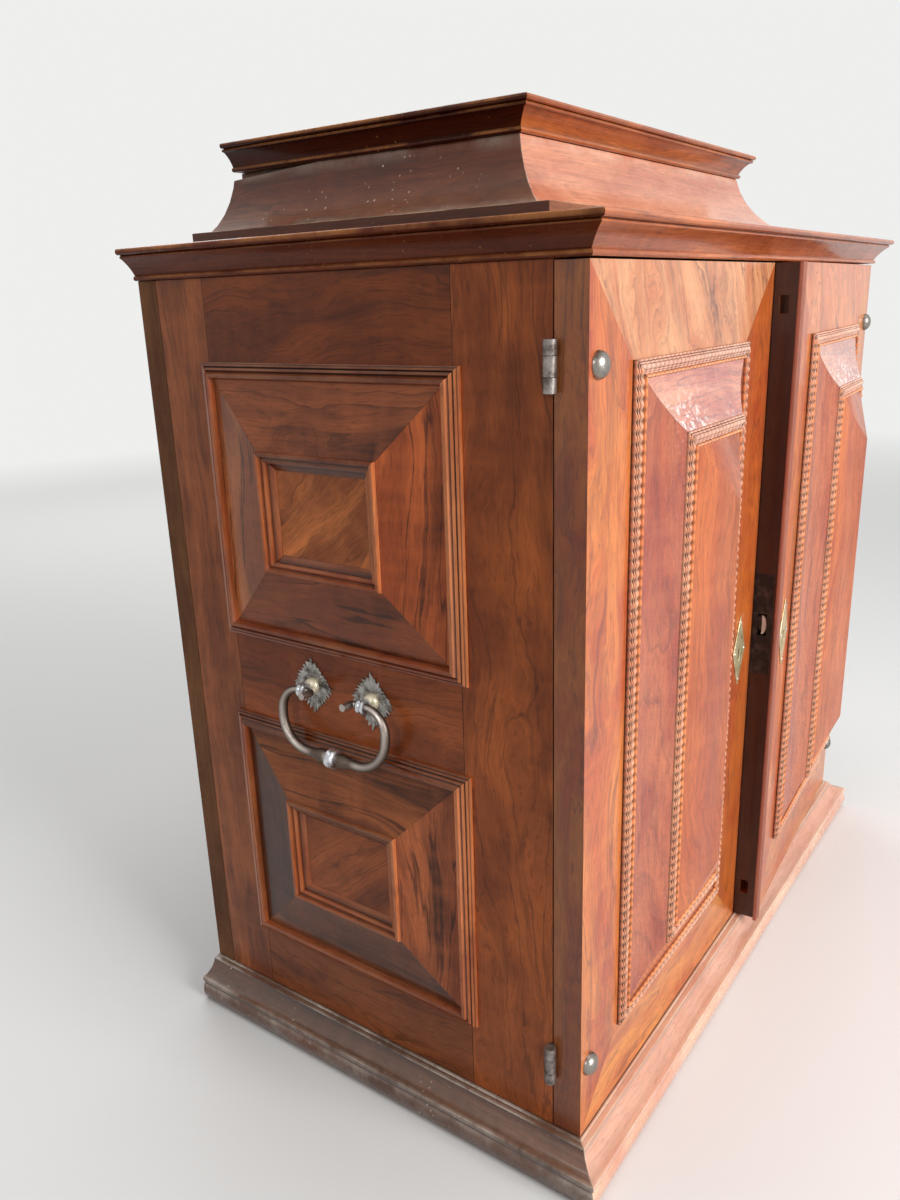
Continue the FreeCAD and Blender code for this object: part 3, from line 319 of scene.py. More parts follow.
def closed_box(node, body):
    """Lowest and highest corner of a CAD node with its door closed."""
    back = door_turn(body).inverted()
    places = [back @ v.co for v in frame["nodes"][node].data.vertices]
    low = Vector([min(p[axis] for p in places) for axis in range(3)])
    high = Vector([max(p[axis] for p in places) for axis in range(3)])
    return low, high


def body_of_node(node):
    return frame["nodes"][node]["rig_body"]


# Mesh helpers

def show(thing):
    bpy.context.scene.collection.objects.link(thing)


def finished(name, mesh, material, body):
    """Object from a mesh in the closed frame, turned with its door, riding on its body."""
    mesh.transform(door_turn(body))
    piece = bpy.data.objects.new(name, mesh)
    show(piece)
    mesh.materials.append(material)
    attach(piece, body)
    return piece


def mesh_from(name, bm):
    mesh = bpy.data.meshes.new(name)
    bm.to_mesh(mesh)
    bm.free()
    return mesh


def separate_boards(node):
    """Mesh of a CAD node in the closed frame, with every board apart from its neighbours.

    The node's faces come board by board, so a board ends where no edge is left open.
    """
    mesh = frame["nodes"][node].data
    back = door_turn(body_of_node(node)).inverted()
    bm = bmesh.new()
    corners, open_edges = {}, set()
    for polygon in mesh.polygons:
        places = [mesh.vertices[index].co for index in polygon.vertices]
        keys = [tuple(round(c, WELD_DIGITS) for c in place) for place in places]
        if len(set(keys)) < len(keys):
            continue
        for key, place in zip(keys, places):
            corners[key] = corners.get(key) or bm.verts.new(back @ place)
        bm.faces.new([corners[key] for key in keys])
        for edge in zip(keys, keys[1:] + keys[:1]):
            open_edges ^= {frozenset(edge)}
        if not open_edges:
            corners = {}
    return bm


def islands(bm):
    """Faces of each board of a mesh whose boards share no corner."""
    left = set(bm.faces)
    found = []
    while left:
        stack = [left.pop()]
        board = []
        while stack:
            face = stack.pop()
            board.append(face)
            for vert in face.verts:
                for other in vert.link_faces:
                    if other in left:
                        left.remove(other)
                        stack.append(other)
        found.append(board)
    return sorted(found, key=board_place)


def board_place(faces):
    """Order of boards: from low to high, then from front to back and left to right."""
    verts = {v for face in faces for v in face.verts}
    middle = [min(v.co[axis] for v in verts) + max(v.co[axis] for v in verts) for axis in (2, 1, 0)]
    return [round(place, PLACE_DIGITS) for place in middle]


def grain_layers(bm):
    """Layers for the place in the log, the tint, the proud arrises and the hollow corners."""
    verts = bm.verts.layers
    return (verts.float_vector.new("grain"), verts.float_color.new("tint"), verts.float.new("edge"),
            verts.float.new("groove"))


def lay_grain(faces, layers, seed, tint=None, along=None, slant=0.0):
    """Cut one board from a log: its length along the log, its face near the log's heart."""
    verts = {v for face in faces for v in face.verts}
    low = [min(v.co[axis] for v in verts) for axis in range(3)]
    high = [max(v.co[axis] for v in verts) for axis in range(3)]
    order = sorted(range(3), key=lambda axis: low[axis] - high[axis])
    if along is not None:
        order = [along] + [axis for axis in order if axis != along]
    chance = random.Random(seed)
    width = high[order[1]] - low[order[1]]
    start = Vector((chance.uniform(0, LOG_LENGTH), width * chance.uniform(-0.5, 0.5),
                    chance.uniform(*HEART_DEPTHS)))
    colour = tint or [1 + chance.uniform(-TINT_SPREAD, TINT_SPREAD)] * 3
    for v in verts:
        middle = Vector([v.co[axis] - (low[axis] + high[axis]) / 2 for axis in order])
        v[layers[0]] = start + Matrix.Rotation(slant, 3, "Z") @ middle
        v[layers[1]] = (*colour[:3], 1)
    return order[0]


def mark_profile(faces, layers, axis):
    """Mark the proud arrises and the hollow corners that run along a moulding."""
    for v in {v for face in faces for v in face.verts}:
        turns = [0.0]
        for edge in v.link_edges:
            way = edge.verts[1].co - edge.verts[0].co
            if len(edge.link_faces) == 2 and abs(way[axis]) > ALONG_SHARE * way.length:
                turns.append(edge.calc_face_angle_signed(0))
        v[layers[2]] = max(v[layers[2]], min(1.0, max(turns) / FULL_MARK))
        v[layers[3]] = min(1.0, -min(turns) / FULL_MARK)


def shade_by_angle(bm):
    for face in bm.faces:
        face.smooth = True
    for edge in bm.edges:
        edge.smooth = len(edge.link_faces) == 2 and edge.calc_face_angle(math.pi) < SMOOTH_ANGLE


def soften(bm, size, layers):
    """Bevel the sharp edges and mark their crests for wear and painted highlights."""
    sharp = [e for e in bm.edges if len(e.link_faces) == 2 and e.calc_face_angle(0) > SHARP_ANGLE]
    made = bmesh.ops.bevel(bm, geom=sharp, offset=size, segments=2, profile=0.5, affect="EDGES",
                           clamp_overlap=True)
    fresh = set(made["faces"])
    for v in made["verts"]:
        v[layers[2]] = float(all(face in fresh for face in v.link_faces))


def boards(name, node, material, edge=BOARD_EDGE, tints=None, along=None, slant=0.0,
           moulded=False):
    """A CAD node board by board: grain along each board, own tint, softened or marked edges."""
    bm = separate_boards(node)
    layers = grain_layers(bm)
    bmesh.ops.dissolve_limit(bm, angle_limit=FLAT_ANGLE, verts=bm.verts, edges=bm.edges)
    if edge:
        soften(bm, edge, layers)
    for index, faces in enumerate(islands(bm)):
        tint = tints[index % len(tints)] if tints else None
        axis = lay_grain(faces, layers, name + str(index), tint, along, slant)
        if moulded:
            mark_profile(faces, layers, axis)
    shade_by_angle(bm)
    piece = finished(name, mesh_from(name, bm), material, body_of_node(node))
    if edge:
        flat = piece.modifiers.new("flat_faces", "WEIGHTED_NORMAL")
        flat.keep_sharp = True
    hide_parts(node)
    return piece


def new_mesh(name, verts, faces):
    mesh = bpy.data.meshes.new(name)
    mesh.from_pydata(verts, [], faces)
    mesh.polygons.foreach_set("use_smooth", [True] * len(mesh.polygons))
    return mesh


def colour_points(mesh, places, tints):
    """Grain places and tints of a mesh that is built point by point."""
    grain = mesh.attributes.new("grain", "FLOAT_VECTOR", "POINT")
    grain.data.foreach_set("vector", [c for place in places for c in place])
    tint = mesh.attributes.new("tint", "FLOAT_COLOR", "POINT")
    tint.data.foreach_set("color", [c for t in tints for c in (*t[:3], 1)])


# Shader groups

def group(name, inputs, outputs):
    """Empty shader group with named sockets: (name, kind, value)."""
    tree = bpy.data.node_groups.new(name, "ShaderNodeTree")
    for label, kind, value in inputs:
        socket = tree.interface.new_socket(label, in_out="INPUT", socket_type="NodeSocket" + kind)
        if value is not None:
            socket.default_value = value
    for label, kind in outputs:
        tree.interface.new_socket(label, in_out="OUTPUT", socket_type="NodeSocket" + kind)
    source = tree.nodes.new("NodeGroupInput")
    sink = tree.nodes.new("NodeGroupOutput")
    return tree, source.outputs, sink.inputs


def give(tree, socket, value):
    """Link a socket, or set it to a constant."""
    if isinstance(value, bpy.types.NodeSocket):
        tree.links.new(value, socket)
    elif value is not None:
        socket.default_value = value


def add(tree, kind, values=None, **settings):
    """Node with its properties and its input values."""
    node = tree.nodes.new("ShaderNode" + kind)
    for key, value in settings.items():
        setattr(node, key, value)
    for key, value in (values or {}).items():
        give(tree, node.inputs[key], value)
    return node


def sums(tree, operation, *values):
    return add(tree, "Math", dict(enumerate(values)), operation=operation).outputs[0]


def times(tree, *values):
    return sums(tree, "MULTIPLY", *values)


def vectors(tree, operation, *values):
    return add(tree, "VectorMath", dict(enumerate(values)), operation=operation).outputs[0]


def noise(tree, vector, scale=1.0, detail=3.0, roughness=0.5, output="Fac"):
    values = {"Vector": vector, "Scale": scale, "Detail": detail, "Roughness": roughness}
    return add(tree, "TexNoise", values).outputs[output]


def grain_noise(tree, place, stretch, detail, roughness=0.5, output="Fac"):
    """Noise with its own scale along each axis."""
    return noise(tree, vectors(tree, "MULTIPLY", place, stretch), 1.0, detail, roughness, output)


def between(tree, value, low, high, to_low=0.0, to_high=1.0):
    values = {"Value": value, "From Min": low, "From Max": high, "To Min": to_low, "To Max": to_high}
    return add(tree, "MapRange", values).outputs[0]


def blended(tree, share, first, second, kind="MIX"):
    """Two colours mixed by a share."""
    values = {0: share, 6: first, 7: second}
    return add(tree, "Mix", values, data_type="RGBA", blend_type=kind).outputs[2]


def attribute(tree, name, output="Fac"):
    return add(tree, "Attribute", attribute_name=name).outputs[output]


def object_place(tree):
    return add(tree, "TexCoord").outputs["Object"]


def length(tree, vector):
    return add(tree, "VectorMath", {0: vector}, operation="LENGTH").outputs["Value"]


def upward(tree):
    """How far a face looks up."""
    normal = add(tree, "NewGeometry").outputs["Normal"]
    return add(tree, "SeparateXYZ", {0: normal}).outputs["Z"]


def walnut_group():
    """Figured walnut: growth rings round a log's heart, drawn aside by drift and knots."""
    tree, given, result = group("walnut", [
        ("Light", "Color", (0.5, 0.2, 0.08, 1)), ("Mid", "Color", (0.35, 0.12, 0.05, 1)),
        ("Dark", "Color", (0.08, 0.03, 0.02, 1)), ("Swirl", "Float", 0.5), ("Streaks", "Float", 0.5),
        ("Burl", "Float", 0.0), ("Fibre", "Float", 0.36),
    ], [("Color", "Color"), ("Height", "Float")])
    grain = attribute(tree, "grain", "Vector")
    # drift of the fibres across the board, broad and fine
    bent = grain
    for stretch, detail, roughness, pull in DRIFTS:
        drift = grain_noise(tree, grain, stretch, detail, roughness, "Color")
        drift = vectors(tree, "SUBTRACT", drift, (0.5, 0.5, 0.5))
        drift = add(tree, "VectorMath", {0: drift, "Scale": given["Swirl"]}, operation="SCALE").outputs[0]
        bent = vectors(tree, "MULTIPLY_ADD", drift, pull, bent)
    # knots push the rings aside
    spots = vectors(tree, "MULTIPLY", bent, KNOT_SPREAD)
    cells = add(tree, "TexVoronoi", {"Vector": spots, "Scale": 1.0}).outputs
    keep = add(tree, "SeparateColor", {0: cells["Color"]}).outputs[0]
    keep = sums(tree, "GREATER_THAN", given["Burl"], keep)
    knot = between(tree, cells["Distance"], 0.45, 0.0)
    knot = times(tree, times(tree, knot, knot), keep)
    heart = times(tree, between(tree, cells["Distance"], 0.16, 0.03), keep)
    across = vectors(tree, "MULTIPLY", bent, (0, 1, 1))
    radius = sums(tree, "MULTIPLY_ADD", knot, KNOT_PUSH, length(tree, across))
    # growth rings: a slow swell that sharpens to a dark line, and bands that follow them
    flames = grain_noise(tree, bent, FLAMES, 4, 0.52)
    growth = sums(tree, "MULTIPLY_ADD", radius, RINGS, times(tree, flames, FLAME_SHIFT))
    rings = sums(tree, "POWER", sums(tree, "FRACT", growth), 4)
    fine_rings = sums(tree, "POWER", sums(tree, "FRACT", times(tree, growth, 2.7)), 3)
    along = add(tree, "SeparateXYZ", {0: grain}).outputs["X"]
    level = add(tree, "CombineXYZ", {"X": times(tree, growth, BANDS), "Y": along}).outputs[0]
    bands = noise(tree, level, 1.0, 3, 0.55)
    clouds = grain_noise(tree, bent, CLOUDS, 4, 0.6)
    tone = sums(tree, "MULTIPLY_ADD", bands, 0.5, times(tree, clouds, 0.5))
    colour = blended(tree, between(tree, tone, 0.42, 0.58), given["Light"], given["Mid"])
    # broad smoky streaks and thin black veins along the grain
    smoke = between(tree, grain_noise(tree, bent, SMOKE, 5, 0.62), 0.52, 0.70)
    gate = grain_noise(tree, grain, VEIN_GATE, 3)
    lines = times(tree, rings, between(tree, gate, 0.44, 0.64, 0.06, 0.85))
    thread = noise(tree, vectors(tree, "MULTIPLY_ADD", bent, THREADS, (5, 2, 9)), 1.0, 2, 0.5)
    thread = between(tree, sums(tree, "ABSOLUTE", sums(tree, "SUBTRACT", thread, 0.5)), 0.018, 0.004)
    thread = times(tree, thread, between(tree, gate, 0.60, 0.48))
    fibres = between(tree, grain_noise(tree, bent, FIBRES, 3), 0.42, 0.68)
    streaks = given["Streaks"]
    for mask, depth in ((smoke, streaks), (lines, streaks), (fine_rings, 0.13), (thread, streaks),
                        (fibres, given["Fibre"]), (heart, 0.75)):
        colour = blended(tree, times(tree, mask, depth), colour, given["Dark"])
    # short shimmer across the grain
    shimmer = grain_noise(tree, grain, SHIMMER, 2)
    colour = blended(tree, between(tree, shimmer, 0.46, 0.78, 0.0, 0.3), colour, given["Light"])
    pores = between(tree, grain_noise(tree, bent, PORES, 1), 0.58, 0.70)
    colour = blended(tree, times(tree, pores, 0.28), colour, given["Dark"])
    give(tree, result["Color"], colour)
    give(tree, result["Height"], sums(tree, "MULTIPLY_ADD", pores, -0.6, rings))
    return tree


def polish_group():
    """Old shellac: gloss that varies, soft ripples, fine crackle, and painted glints of crazed gloss on
    faces that look up.
    """
    tree, given, result = group("polish", [
        ("Gloss", "Float", 0.3), ("Spread", "Float", 0.15), ("Crackle", "Float", 0.0),
    ], [("Roughness", "Float"), ("Height", "Float"), ("Craze_glint", "Float")])
    place = object_place(tree)
    cloud = noise(tree, place, 9.0, 4, 0.6)
    spots = between(tree, noise(tree, place, 160.0, 2), 0.60, 0.75)
    rough = sums(tree, "MULTIPLY_ADD", sums(tree, "SUBTRACT", cloud, 0.5), given["Spread"], given["Gloss"])
    cells = add(tree, "TexVoronoi", {"Vector": place, "Scale": 260.0}).outputs["Distance"]
    give(tree, result["Roughness"], sums(tree, "MULTIPLY_ADD", spots, 0.10, rough))
    ripples = noise(tree, place, 24.0, 2)
    give(tree, result["Height"], sums(tree, "MULTIPLY_ADD", cells, given["Crackle"], ripples))
    # Painted glints: pale wrinkles in patches on faces that look up
    wrinkle = grain_noise(tree, place, WRINKLES, 4, 0.6)
    patch = between(tree, noise(tree, place, 12.0, 3), 0.46, 0.60)
    patch = times(tree, patch, between(tree, upward(tree), 0.22, 0.42))
    give(tree, result["Craze_glint"], times(tree, between(tree, wrinkle, 0.50, 0.60), patch))
    return tree


def wear_group():
    """Masks for worn crests with painted highlights, seams with painted shade in the hollow corners, settled
    dust, dark dirt and pale specks.
    """
    tree, given, result = group("wear", [
        ("Rubbed", "Float", 0.4), ("Seam", "Float", 0.3), ("Dust", "Float", 0.3), ("Dirt", "Float", 0.3),
        ("Specks", "Float", 0.0), ("Grooves", "Float", 0.0), ("Stipple", "Float", 0.0),
    ], [(label, "Float") for label in ("Rubbed", "Seam", "Dust", "Dirt", "Specks")])
    place = object_place(tree)
    edge = attribute(tree, "edge")
    fine = noise(tree, place, 110.0, 5, 0.7)
    broad = noise(tree, place, 13.0, 4, 0.6)
    # Pale crests: partly worn finish, partly painted highlights; none on faces that look down
    rubbed_and_glint = times(tree, between(tree, edge, 0.05, 0.6), between(tree, broad, 0.40, 0.58))
    rubbed_and_glint = times(tree, rubbed_and_glint, between(tree, fine, 0.30, 0.50, 0.4, 1.0))
    up = upward(tree)
    rubbed_and_glint = times(tree, rubbed_and_glint, between(tree, up, -0.4, 0.0))
    give(tree, result["Rubbed"], times(tree, rubbed_and_glint, given["Rubbed"]))
    # Painted shade in the hollow corners of mouldings
    groove = sums(tree, "POWER", attribute(tree, "groove"), GROOVE_POWER)
    groove = times(tree, groove, given["Grooves"])
    give(tree, result["Seam"], sums(tree, "MULTIPLY_ADD", edge, given["Seam"], groove))
    cover = times(tree, between(tree, up, 0.45, 0.96), between(tree, fine, 0.28, 0.60, 0.25, 1.0))
    stipple = between(tree, noise(tree, place, 420.0, 2), 0.40, 0.58, 0.25, 1.0)
    stipple = times(tree, stipple, between(tree, attribute(tree, "groove"), 0.25, 0.60))
    settled = times(tree, stipple, given["Stipple"])
    settled = sums(tree, "MAXIMUM", settled, times(tree, cover, given["Dust"]))
    give(tree, result["Dust"], settled)
    give(tree, result["Dirt"], times(tree, between(tree, broad, 0.48, 0.72), given["Dirt"]))
    specks = add(tree, "TexVoronoi", {"Vector": place, "Scale": 130.0}).outputs["Distance"]
    patch = between(tree, noise(tree, place, 21.0, 2), 0.50, 0.62)
    speck = times(tree, between(tree, specks, 0.16, 0.09), patch)
    give(tree, result["Specks"], times(tree, speck, given["Specks"]))
    return tree


def metal_group():
    """Old metal: mottled colour, worn bright spots and pitting."""
    tree, given, result = group("old_metal", [
        ("Bright", "Color", (0.5, 0.5, 0.5, 1)), ("Tarnish", "Color", (0.1, 0.08, 0.06, 1)),
        ("Cover", "Float", 0.5), ("Grain size", "Float", 95.0),
    ], [("Color", "Color"), ("Roughness", "Float"), ("Height", "Float")])
    place = object_place(tree)
    mottle = noise(tree, place, given["Grain size"], 6, 0.65)
    mask = between(tree, sums(tree, "ADD", mottle, given["Cover"]), *TARNISH_EDGE)
    # The bail's brown patina, and its painted shade away from the painted highlight
    mask = sums(tree, "MAXIMUM", mask, times(tree, attribute(tree, "patina_and_shade"), 0.9))
    pits = between(tree, noise(tree, place, 700.0, 2), 0.60, 0.75)
    give(tree, result["Color"], blended(tree, mask, given["Bright"], given["Tarnish"]))
    give(tree, result["Roughness"], between(tree, mask, 0.0, 1.0, 0.28, 0.5))
    give(tree, result["Height"], sums(tree, "MULTIPLY_ADD", pits, -0.6, mottle))
    return tree


WALNUT = walnut_group()
POLISH = polish_group()
WEAR = wear_group()
OLD_METAL = metal_group()


def placed(tree, inner, **values):
    node = add(tree, "Group", node_tree=inner)
    for label, value in values.items():
        give(tree, node.inputs[label], value)
    return node.outputs


def blank_material(name):
    """Material with only a Principled shader and its output."""
    material = bpy.data.materials.new(name)
    material.use_nodes = True
    tree = material.node_tree
    shader = next(n for n in tree.nodes if n.type == "BSDF_PRINCIPLED")
    return material, tree, shader.inputs


def raised(tree, height, distance, strength):
    values = {"Height": height, "Distance": distance, "Strength": strength}
    return add(tree, "Bump", values).outputs["Normal"]


def wood(name, light, mid, dark, swirl=0.3, streaks=0.5, burl=0.0, fibre=0.3, gloss=0.32, coat=0.3,
         shine=0.45, crackle=0.0, rubbed_and_glint=0.4, seam=0.0, groove_shade=0.0, dust=0.0, dirt=0.05, specks=0.0,
         worn=(196, 150, 110), dust_colour=(176, 160, 146), craze_glint=0.0, stipple=0.0):
    """Walnut or pine with its polish and wear, and painted light: highlights on worn crests, shade in hollow
    corners and, where asked, crazed glints.
    """
    material, tree, shader = blank_material(name)
    figure = placed(tree, WALNUT, Light=rgb(*light), Mid=rgb(*mid), Dark=rgb(*dark), Swirl=swirl,
                    Streaks=streaks, Burl=burl, Fibre=fibre)
    polish = placed(tree, POLISH, Gloss=gloss, Spread=POLISH_SPREAD, Crackle=crackle)
    marks = placed(tree, WEAR, Rubbed=rubbed_and_glint, Seam=seam, Dust=dust, Dirt=dirt, Specks=specks,
                   Grooves=groove_shade, Stipple=stipple)
    colour = blended(tree, 1.0, figure["Color"], attribute(tree, "tint", "Color"), "MULTIPLY")
    colour = blended(tree, marks["Dirt"], colour, rgb(*dark))
    # Dirty seams, and painted shade in hollow corners
    colour = blended(tree, marks["Seam"], colour, rgb(*SEAM_DIRT_AND_GROOVE_SHADE))
    # Worn crests, with painted highlights on them
    colour = blended(tree, marks["Rubbed"], colour, rgb(*worn))
    colour = blended(tree, marks["Dust"], colour, rgb(*dust_colour))
    colour = blended(tree, marks["Specks"], colour, rgb(*worn))
    # Painted glints of crazed gloss
    if craze_glint:
        colour = blended(tree, times(tree, polish["Craze_glint"], craze_glint), colour, rgb(*CRAZE_GLINT))
    give(tree, shader["Base Color"], colour)
    rough = sums(tree, "MULTIPLY_ADD", marks["Dust"], DUST_ROUGHNESS, polish["Roughness"])
    give(tree, shader["Roughness"], rough)
    shader["Coat Weight"].default_value = coat
    shader["Coat Roughness"].default_value = COAT_ROUGHNESS
    shader["Specular IOR Level"].default_value = shine
    height = sums(tree, "MULTIPLY_ADD", figure["Height"], PORE_SHARE, polish["Height"])
    give(tree, shader["Normal"], raised(tree, height, POLISH_RELIEF, POLISH_BUMP))
    return material


def metal(name, bright, tarnish, cover=0.5, size=95.0, metallic=0.9):
    material, tree, shader = blank_material(name)
    values = {"Bright": rgb(*bright), "Tarnish": rgb(*tarnish), "Cover": cover, "Grain size": size}
    parts = placed(tree, OLD_METAL, **values)
    give(tree, shader["Base Color"], parts["Color"])
    give(tree, shader["Roughness"], parts["Roughness"])
    shader["Metallic"].default_value = metallic
    give(tree, shader["Normal"], raised(tree, parts["Height"], METAL_RELIEF, METAL_BUMP))
    return material


# Finishes: light, middle and dark colour of each wood, then how it is polished and worn, with painted
# highlights on crests and painted shade in hollow corners

DOOR_WALNUT = wood(
    "polished_door_walnut", (236, 142, 64), (204, 96, 46), (92, 44, 40),
    swirl=0.9, burl=0.3, seam=0.6)
# Top rails: a pale burr veneer, partly its own colour, partly painted sheen
PALE_SHEENED_WALNUT = wood(
    "pale_burr_walnut_with_sheen", (240, 170, 120), (212, 128, 84), (96, 58, 56),
    swirl=2.2, streaks=0.6, burl=0.25, fibre=0.12, gloss=0.3, seam=0.6)
PANEL_WALNUT = wood(
    "ridge_panel_walnut", (228, 124, 68), (200, 94, 52), (96, 46, 40),
    swirl=0.8, streaks=0.28, burl=0.1, seam=0.6)
BAND_WALNUT = wood(
    "crackled_band_walnut", (222, 130, 84), (188, 88, 60), (84, 46, 50),
    swirl=0.6, streaks=0.42, gloss=0.26, coat=0.6, shine=0.5, crackle=2.4, rubbed_and_glint=0.5, seam=0.6,
    craze_glint=0.8)
RIPPLE_WALNUT = wood(
    "rippled_walnut", (226, 150, 110), (204, 120, 84), (120, 66, 50),
    swirl=0.2, streaks=0.2, gloss=0.34, coat=0.25, rubbed_and_glint=0.0, dirt=0.15)
SIDE_WALNUT = wood(
    "side_walnut", (196, 104, 54), (142, 70, 36), (50, 24, 17),
    swirl=1.0, streaks=0.4, burl=0.1, fibre=0.18, coat=0.15, shine=0.15, rubbed_and_glint=0.2, seam=0.6,
    dirt=0.08)
PILLOW_WALNUT = wood(
    "pillow_walnut", (200, 106, 58), (148, 73, 40), (42, 21, 16),
    swirl=0.6, streaks=0.7, burl=0.06, fibre=0.2, gloss=0.28, coat=0.2, shine=0.15, rubbed_and_glint=0.5,
    seam=0.2)
MOULDING_WALNUT = wood(
    "moulding_walnut", (216, 122, 66), (180, 92, 50), (66, 32, 22),
    streaks=0.35, gloss=0.18, shine=0.2, rubbed_and_glint=0.2, groove_shade=0.95, dust=0.03, dirt=0.08,
    worn=(228, 158, 108))
CREST_WALNUT = wood(
    "worn_crest_walnut", (216, 122, 66), (180, 92, 50), (66, 32, 22),
    streaks=0.35, gloss=0.24, coat=0.1, shine=0.12, rubbed_and_glint=0.6, groove_shade=0.95, dust=0.05, dirt=0.1,
    specks=0.5, worn=(206, 134, 74))
BASE_WALNUT = wood(
    "peach_base_walnut", (250, 192, 164), (236, 164, 134), (160, 100, 78),
    streaks=0.18, fibre=0.2, gloss=0.26, coat=0.5, shine=0.6, rubbed_and_glint=0.7, groove_shade=0.8, dust=0.25,
    dirt=0.0, specks=0.3, worn=(252, 226, 192), dust_colour=(176, 158, 142), stipple=0.75)
DUSTY_BASE_WALNUT = wood(
    "dusty_base_walnut", (190, 130, 92), (150, 98, 70), (70, 44, 34),
    streaks=0.6, gloss=0.26, coat=0.5, shine=0.5, rubbed_and_glint=1.0, groove_shade=0.9, dust=0.24, dirt=0.3,
    specks=1.0, worn=(206, 190, 174), dust_colour=(150, 136, 122))
TOP_WALNUT = wood(
    "dusty_top_walnut", (176, 112, 74), (142, 84, 54), (58, 32, 24),
    streaks=0.4, gloss=0.45, coat=0.08, shine=0.3, rubbed_and_glint=0.7, dust=0.25, dirt=0.2, specks=0.4,
    worn=(224, 196, 150))
COVE_WALNUT = wood(
    "cove_walnut", (232, 150, 112), (206, 118, 84), (120, 66, 50),
    swirl=0.4, streaks=0.3, gloss=0.24, coat=0.4, shine=0.4, rubbed_and_glint=0.6, dust=0.06, specks=0.4,
    worn=(250, 216, 190))
DUSTY_COVE_WALNUT = wood(
    "dusty_cove_walnut", (220, 140, 96), (180, 104, 70), (80, 44, 34),
    swirl=0.4, gloss=0.3, coat=0.2, shine=0.25, rubbed_and_glint=0.6, dust=0.3, dirt=0.65, specks=1.0,
    worn=(226, 206, 186), dust_colour=(136, 122, 96))
OLD_PINE = wood(
    "old_pine", (150, 100, 66), (122, 78, 50), (66, 40, 28),
    streaks=0.25, gloss=0.6, coat=0.0, shine=0.15, rubbed_and_glint=0.1, seam=0.6, dust=0.15, dirt=0.4)
WORN_IRON = metal("worn_iron", (160, 152, 146), (82, 70, 64), cover=0.48, metallic=0.7)
DARK_IRON = metal("dark_iron", (84, 74, 68), (40, 30, 26), cover=0.6, metallic=0.5)
LEAF_IRON = metal("leaf_iron", (180, 176, 170), (84, 77, 70), cover=0.48, size=140.0, metallic=0.7)
EYE_IRON = metal("eye_iron", (206, 208, 212), (90, 82, 76), cover=0.42, metallic=0.9)
STUD_STEEL = metal("stud_steel", (152, 147, 140), (90, 82, 74), cover=0.42, metallic=0.9)
BRIGHT_STEEL = metal("bright_steel", (216, 214, 208), (150, 140, 130), cover=0.36, metallic=0.6)
POST_METAL = metal("pale_post_metal", (236, 224, 196), (176, 158, 128), cover=0.40, metallic=0.35)
BAIL_METAL = metal("patinated_bail_metal", (206, 194, 186), (70, 53, 40), cover=0.42, size=55.0,
                   metallic=0.95)
RING_METAL = metal("polished_ring_metal", (222, 224, 230), (96, 78, 62), cover=0.42, size=70.0,
                   metallic=0.95)
KEYHOLE_SHADOW = metal("keyhole_shadow", (18, 14, 12), (10, 8, 7), metallic=0.0)
OLD_BRASS = metal("old_brass", (214, 200, 158), (140, 118, 80), cover=0.42, metallic=0.5)


# Doors

def reed_outline(relief, groove):
    """Section of the ripple moulding: share of width, height, ripple depth and colour, with painted shade at
    the foot of each reed and a painted shadow on the outer wall.
    """
    points = [(0.0, -1.0, 0.0, OUTER_WALL_SHADOW), (0.0, REED_FOOT, 0.0, OUTER_WALL_SHADOW)]
    for start, end, foot, top, depth, colour in REEDS:
        for step in range(REED_POINTS):
            turn = math.pi * step / (REED_POINTS - 1)
            rise = math.sin(turn)
            share = (start + end) / 2 - (end - start) / 2 * math.cos(turn)
            tone = [g + (c - g) * rise ** REED_SHADE_POWER for g, c in zip(groove, colour)]
            points.append((share, foot + (top - foot) * rise, depth * rise, tone))
    points += [(1.0, REED_FOOT, 0.0, groove), (1.0, -1.0, 0.0, groove)]
    return [(share, height * relief, depth * MM, tone) for share, height, depth, tone in points]


def ripple_frame(name, node):
    """Mitred frame of waved reeds round a door panel."""
    body = body_of_node(node)
    low, high = closed_box(node, body)
    middle = (low + high) / 2
    half = (high - low) / 2
    verts, faces, grain, tints = [], [], [], []
    for side in range(4):
        outline = reed_outline(RIPPLE_RELIEF, GROOVE_SHADES[side % 2])
        length, reach = (2 * half.x, half.z) if side % 2 == 0 else (2 * half.z, half.x)
        count = round(length / RIPPLE_PITCH)
        steps = count * RIPPLE_STEPS
        turn = Matrix.Rotation(side * math.pi / 2, 3, "Y")
        first = len(verts)
        for step in range(steps + 1):
            for share, height, depth, tone in outline:
                inwards = share * RIPPLE_W
                run = (length / 2 - inwards) * (2 * step / steps - 1)
                phase = 2 * math.pi * (run / length * count)
                wave = math.cos(phase)
                lift = height + depth * (wave - 1) / 2
                sway = RIPPLE_SWAY * math.sin(phase) * (depth > 0)
                y = high.y if height < 0 else low.y + RIPPLE_RELIEF - lift
                local = turn @ Vector((run, 0, inwards + sway - reach))
                verts.append((middle.x + local.x, y, middle.z + local.z))
                grain.append((run + side, inwards, HEART_DEPTHS[1]))
                # painted shade in the troughs, and a painted shadow along the mitres
                shade = 1 - TROUGH_SHADES[side % 2] * ((1 - wave) / 2) ** TROUGH_POWER
                if step in (0, steps):
                    shade = MITRE_SHADE
                # the member's tint carries its painted sheen
                tints.append([c * shade * share for c, share in zip(tone, MEMBER_SHEEN_TINTS[side])])
        points = len(outline)
        for step in range(steps):
            for index in range(points - 1):
                a = first + step * points + index
                faces.append((a, a + 1, a + points + 1, a + points))
    mesh = new_mesh(name, verts, faces)
    colour_points(mesh, grain, tints)
    piece = finished(name, mesh, RIPPLE_WALNUT, body)
    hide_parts(node)


